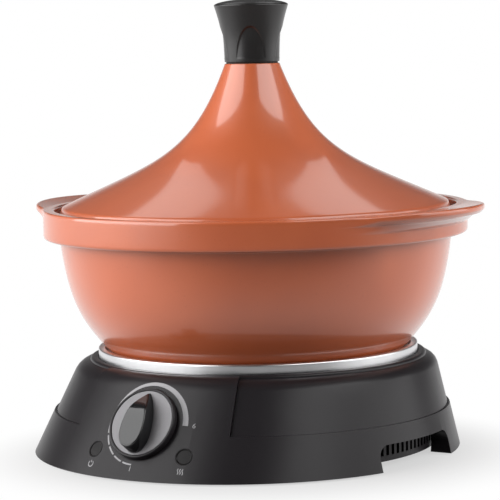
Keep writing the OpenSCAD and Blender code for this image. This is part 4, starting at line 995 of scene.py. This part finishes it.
class TAGINE_OT_stage(Operator):
    """Lay the white floor, hang the softboxes and set the camera"""

    bl_idname = "tagine.stage"
    bl_label = "Light Studio"

    def execute(self, context):
        scene, stage = context.scene, context.scene.tagine_stage
        scene.view_settings.view_transform = "Standard"
        view = Matrix.Rotation(stage.azimuth, 4, "Z") @ Vector((0, -1, 0))
        aim, roll, reach = Vector((0, 0, 0.1285)), radians(-1.204), 6.0

        corners = [(-reach, -reach, 0), (reach, -reach, 0), (reach, reach, 0), (-reach, reach, 0)]
        mesh = bpy.data.meshes.new("floor")
        mesh.from_pydata(corners, [], [(0, 1, 2, 3)])
        mesh.materials.append(self.white_floor(-view))
        placed("floor", mesh)
        self.white_world(scene, -view, stage.sky)

        camera = placed("camera", bpy.data.cameras.new("camera"))
        camera.data.sensor_width = 36
        camera.data.lens = 171.76
        camera.data.shift_x = -0.01207
        camera.location = view * stage.distance + Vector((0, 0, stage.eye_height))
        look = (aim - camera.location).to_track_quat("-Z", "Y").to_matrix().to_4x4()
        camera.matrix_world = Matrix.Translation(camera.location) @ look @ Matrix.Rotation(roll, 4, "Z")
        camera.data.clip_end = 40
        scene.camera = camera

        def light(name, side, distance, width, low, high, watts, mirrored=True):
            """Upright softbox that faces the plate's axis; side is its turn from the camera in degrees,
            the sizes are in metres, and one that isn't mirrored only lights the object."""
            turn = Matrix.Rotation(stage.azimuth + radians(side), 4, "Z") @ Vector((0, -1, 0))
            lamp = bpy.data.lights.new(name, "AREA")
            lamp.shape = "RECTANGLE"
            lamp.size, lamp.size_y, lamp.energy = width, high - low, watts
            holder = placed(name, lamp)
            holder.visible_glossy = mirrored
            face_in = (-turn).to_track_quat("-Z", "Y").to_matrix().to_4x4()
            middle = turn * distance + Vector((0, 0, (low + high) / 2))
            holder.matrix_world = Matrix.Translation(middle) @ face_in

        soft, strip = stage.softbox_watts, stage.strip_watts
        light("softbox_left", -70, 1.4, 2.0, 0.95, 2.15, 0.42 * soft)
        light("softbox_right", 56, 1.4, 1.9, 0.95, 2.35, 0.46 * soft)
        light("top_left", -70, 1.4, 2.0, 0.95, 3.3, 0.44 * soft, mirrored=False)
        light("top_right", 56, 1.4, 1.9, 0.95, 3.3, 0.42 * soft, mirrored=False)
        light("strip_left", -76, 2.6, 3.6, 0.05, 1.5, 0.45 * strip)
        light("strip_right", 86, 2.6, 2.6, 0.05, 1.5, 0.18 * strip)
        light("fill_left", -84, 2.6, 2.8, 0.05, 1.5, 0.8 * strip, mirrored=False)
        light("fill_right", 86, 2.6, 2.6, 0.05, 1.5, 0.65 * strip, mirrored=False)
        light("back_left", -163, 1.6, 0.7, 1.45, 2.2, stage.rim_watts)
        light("back_right", 163, 1.6, 0.7, 1.45, 2.2, stage.rim_watts)
        return {"FINISHED"}

    def white_floor(self, behind):
        """White paper: pure white to the camera, apart from a painted shadow in front of the object,
        where the glow fades and the paper's own shadow shows through. What mirrors it sees it white
        beside and behind the object, and unlit in front."""
        material, tree, where = blank("studio paper")
        ray = add(tree, "ShaderNodeLightPath").outputs
        seen = add(tree, "ShaderNodeMath", {
            0: ray["Is Camera Ray"], 1: ray["Is Transmission Ray"]}, operation="MAXIMUM")
        tone = add(tree, "ShaderNodeMix", {
            "Factor": seen, 6: shade("#747474"), 7: shade("#8E8E8E")}, data_type="RGBA")
        paper = add(tree, "ShaderNodeBsdfPrincipled", {"Base Color": tone.outputs[2], "Roughness": 0.9})
        depth = add(tree, "ShaderNodeVectorMath", {0: where, 1: behind}, operation="DOT_PRODUCT")
        lit = add(tree, "ShaderNodeMapRange", {
            "Value": depth.outputs["Value"], "From Min": -0.42, "From Max": -0.15},
            interpolation_type="SMOOTHSTEP")
        mirrored = add(tree, "ShaderNodeMath", {0: ray["Is Glossy Ray"], 1: lit}, operation="MULTIPLY")
        white = add(tree, "ShaderNodeMath", {0: seen, 1: mirrored}, operation="MAXIMUM")
        # Painted shadow: the glow is cut to 0.55 within 0.1 m of a point 40 mm in front of the object,
        # towards the camera, and is full again beyond 0.2 m. So that patch of floor is grey even where
        # nothing shades it, and the paper's real shadow shows in it.
        away = add(tree, "ShaderNodeVectorMath", {0: where, 1: -0.04 * behind}, operation="DISTANCE")
        clear = add(tree, "ShaderNodeMapRange", {
            "Value": away.outputs["Value"], "From Min": 0.1, "From Max": 0.2, "To Min": 0.55,
            "To Max": 1.0}, interpolation_type="SMOOTHSTEP")
        share = add(tree, "ShaderNodeMath", {0: white, 1: clear}, operation="MULTIPLY")
        glow = add(tree, "ShaderNodeEmission", {"Color": (1, 1, 1, 1), "Strength": 1.0})
        both = add(tree, "ShaderNodeMixShader", {0: share, 1: paper, 2: glow})
        add(tree, "ShaderNodeOutputMaterial", {"Surface": both})
        return material

    def white_world(self, scene, behind, dim):
        """White backdrop: full white where it is seen, and a dim room on the camera's side."""
        world = bpy.data.worlds.new("white backdrop")
        world.use_nodes = True
        tree = world.node_tree
        tree.nodes.clear()
        ray = add(tree, "ShaderNodeLightPath").outputs
        seen = add(tree, "ShaderNodeMath", {
            0: ray["Is Camera Ray"], 1: ray["Is Transmission Ray"]}, operation="MAXIMUM")
        way = add(tree, "ShaderNodeTexCoord").outputs["Generated"]
        facing = add(tree, "ShaderNodeVectorMath", {0: way, 1: behind}, operation="DOT_PRODUCT")
        sweep = add(tree, "ShaderNodeMapRange", {
            "Value": facing.outputs["Value"], "From Min": -0.2, "From Max": 0.6, "To Min": dim,
            "To Max": 1.0}, interpolation_type="SMOOTHSTEP")
        rise = add(tree, "ShaderNodeSeparateXYZ", {0: way}).outputs["Z"]
        fade = add(tree, "ShaderNodeMapRange", {
            "Value": rise, "From Min": 0.0, "From Max": 0.24, "To Min": 0.8, "To Max": 0.1},
            interpolation_type="SMOOTHSTEP")
        room = add(tree, "ShaderNodeMath", {0: sweep, 1: fade}, operation="MULTIPLY")
        level = add(tree, "ShaderNodeMath", {0: seen, 1: room}, operation="MAXIMUM")
        sky = add(tree, "ShaderNodeBackground", {"Color": (1, 1, 1, 1), "Strength": level})
        add(tree, "ShaderNodeOutputWorld", {"Surface": sky})
        scene.world = world


OPERATORS = (TAGINE_OT_finishes, TAGINE_OT_shells, TAGINE_OT_lid, TAGINE_OT_lid_knob, TAGINE_OT_bowl,
             TAGINE_OT_plate, TAGINE_OT_control_knob, TAGINE_OT_lenses, TAGINE_OT_feet,
             TAGINE_OT_screws, TAGINE_OT_gland, TAGINE_OT_print, TAGINE_OT_stage)


class TAGINE_PT_builder(Panel):
    """Lists the steps that build the tagine"""

    bl_idname = "TAGINE_PT_builder"
    bl_label = "Electric Tagine"
    bl_space_type = "VIEW_3D"
    bl_region_type = "UI"
    bl_category = "Tagine"

    def draw(self, context):
        for step in OPERATORS:
            self.layout.operator(step.bl_idname)
        for group in SETTINGS:
            box = self.layout.box()
            settings = getattr(context.scene, group)
            for name in settings.__annotations__:
                box.prop(settings, name)


SETTINGS = {"tagine_clay": ClaySettings, "tagine_base": BaseSettings, "tagine_dial": DialSettings,
            "tagine_stage": StageSettings}


def register():
    for kind in (*SETTINGS.values(), *OPERATORS, TAGINE_PT_builder):
        bpy.utils.register_class(kind)
    for name, kind in SETTINGS.items():
        setattr(bpy.types.Scene, name, PointerProperty(type=kind))


def unregister():
    for name in SETTINGS:
        delattr(bpy.types.Scene, name)
    for kind in (TAGINE_PT_builder, *reversed(OPERATORS), *reversed(SETTINGS.values())):
        bpy.utils.unregister_class(kind)


def main():
    register()
    for step in OPERATORS:
        group, name = step.bl_idname.split(".")
        getattr(getattr(bpy.ops, group), name)()


if __name__ == "__main__":
    main()
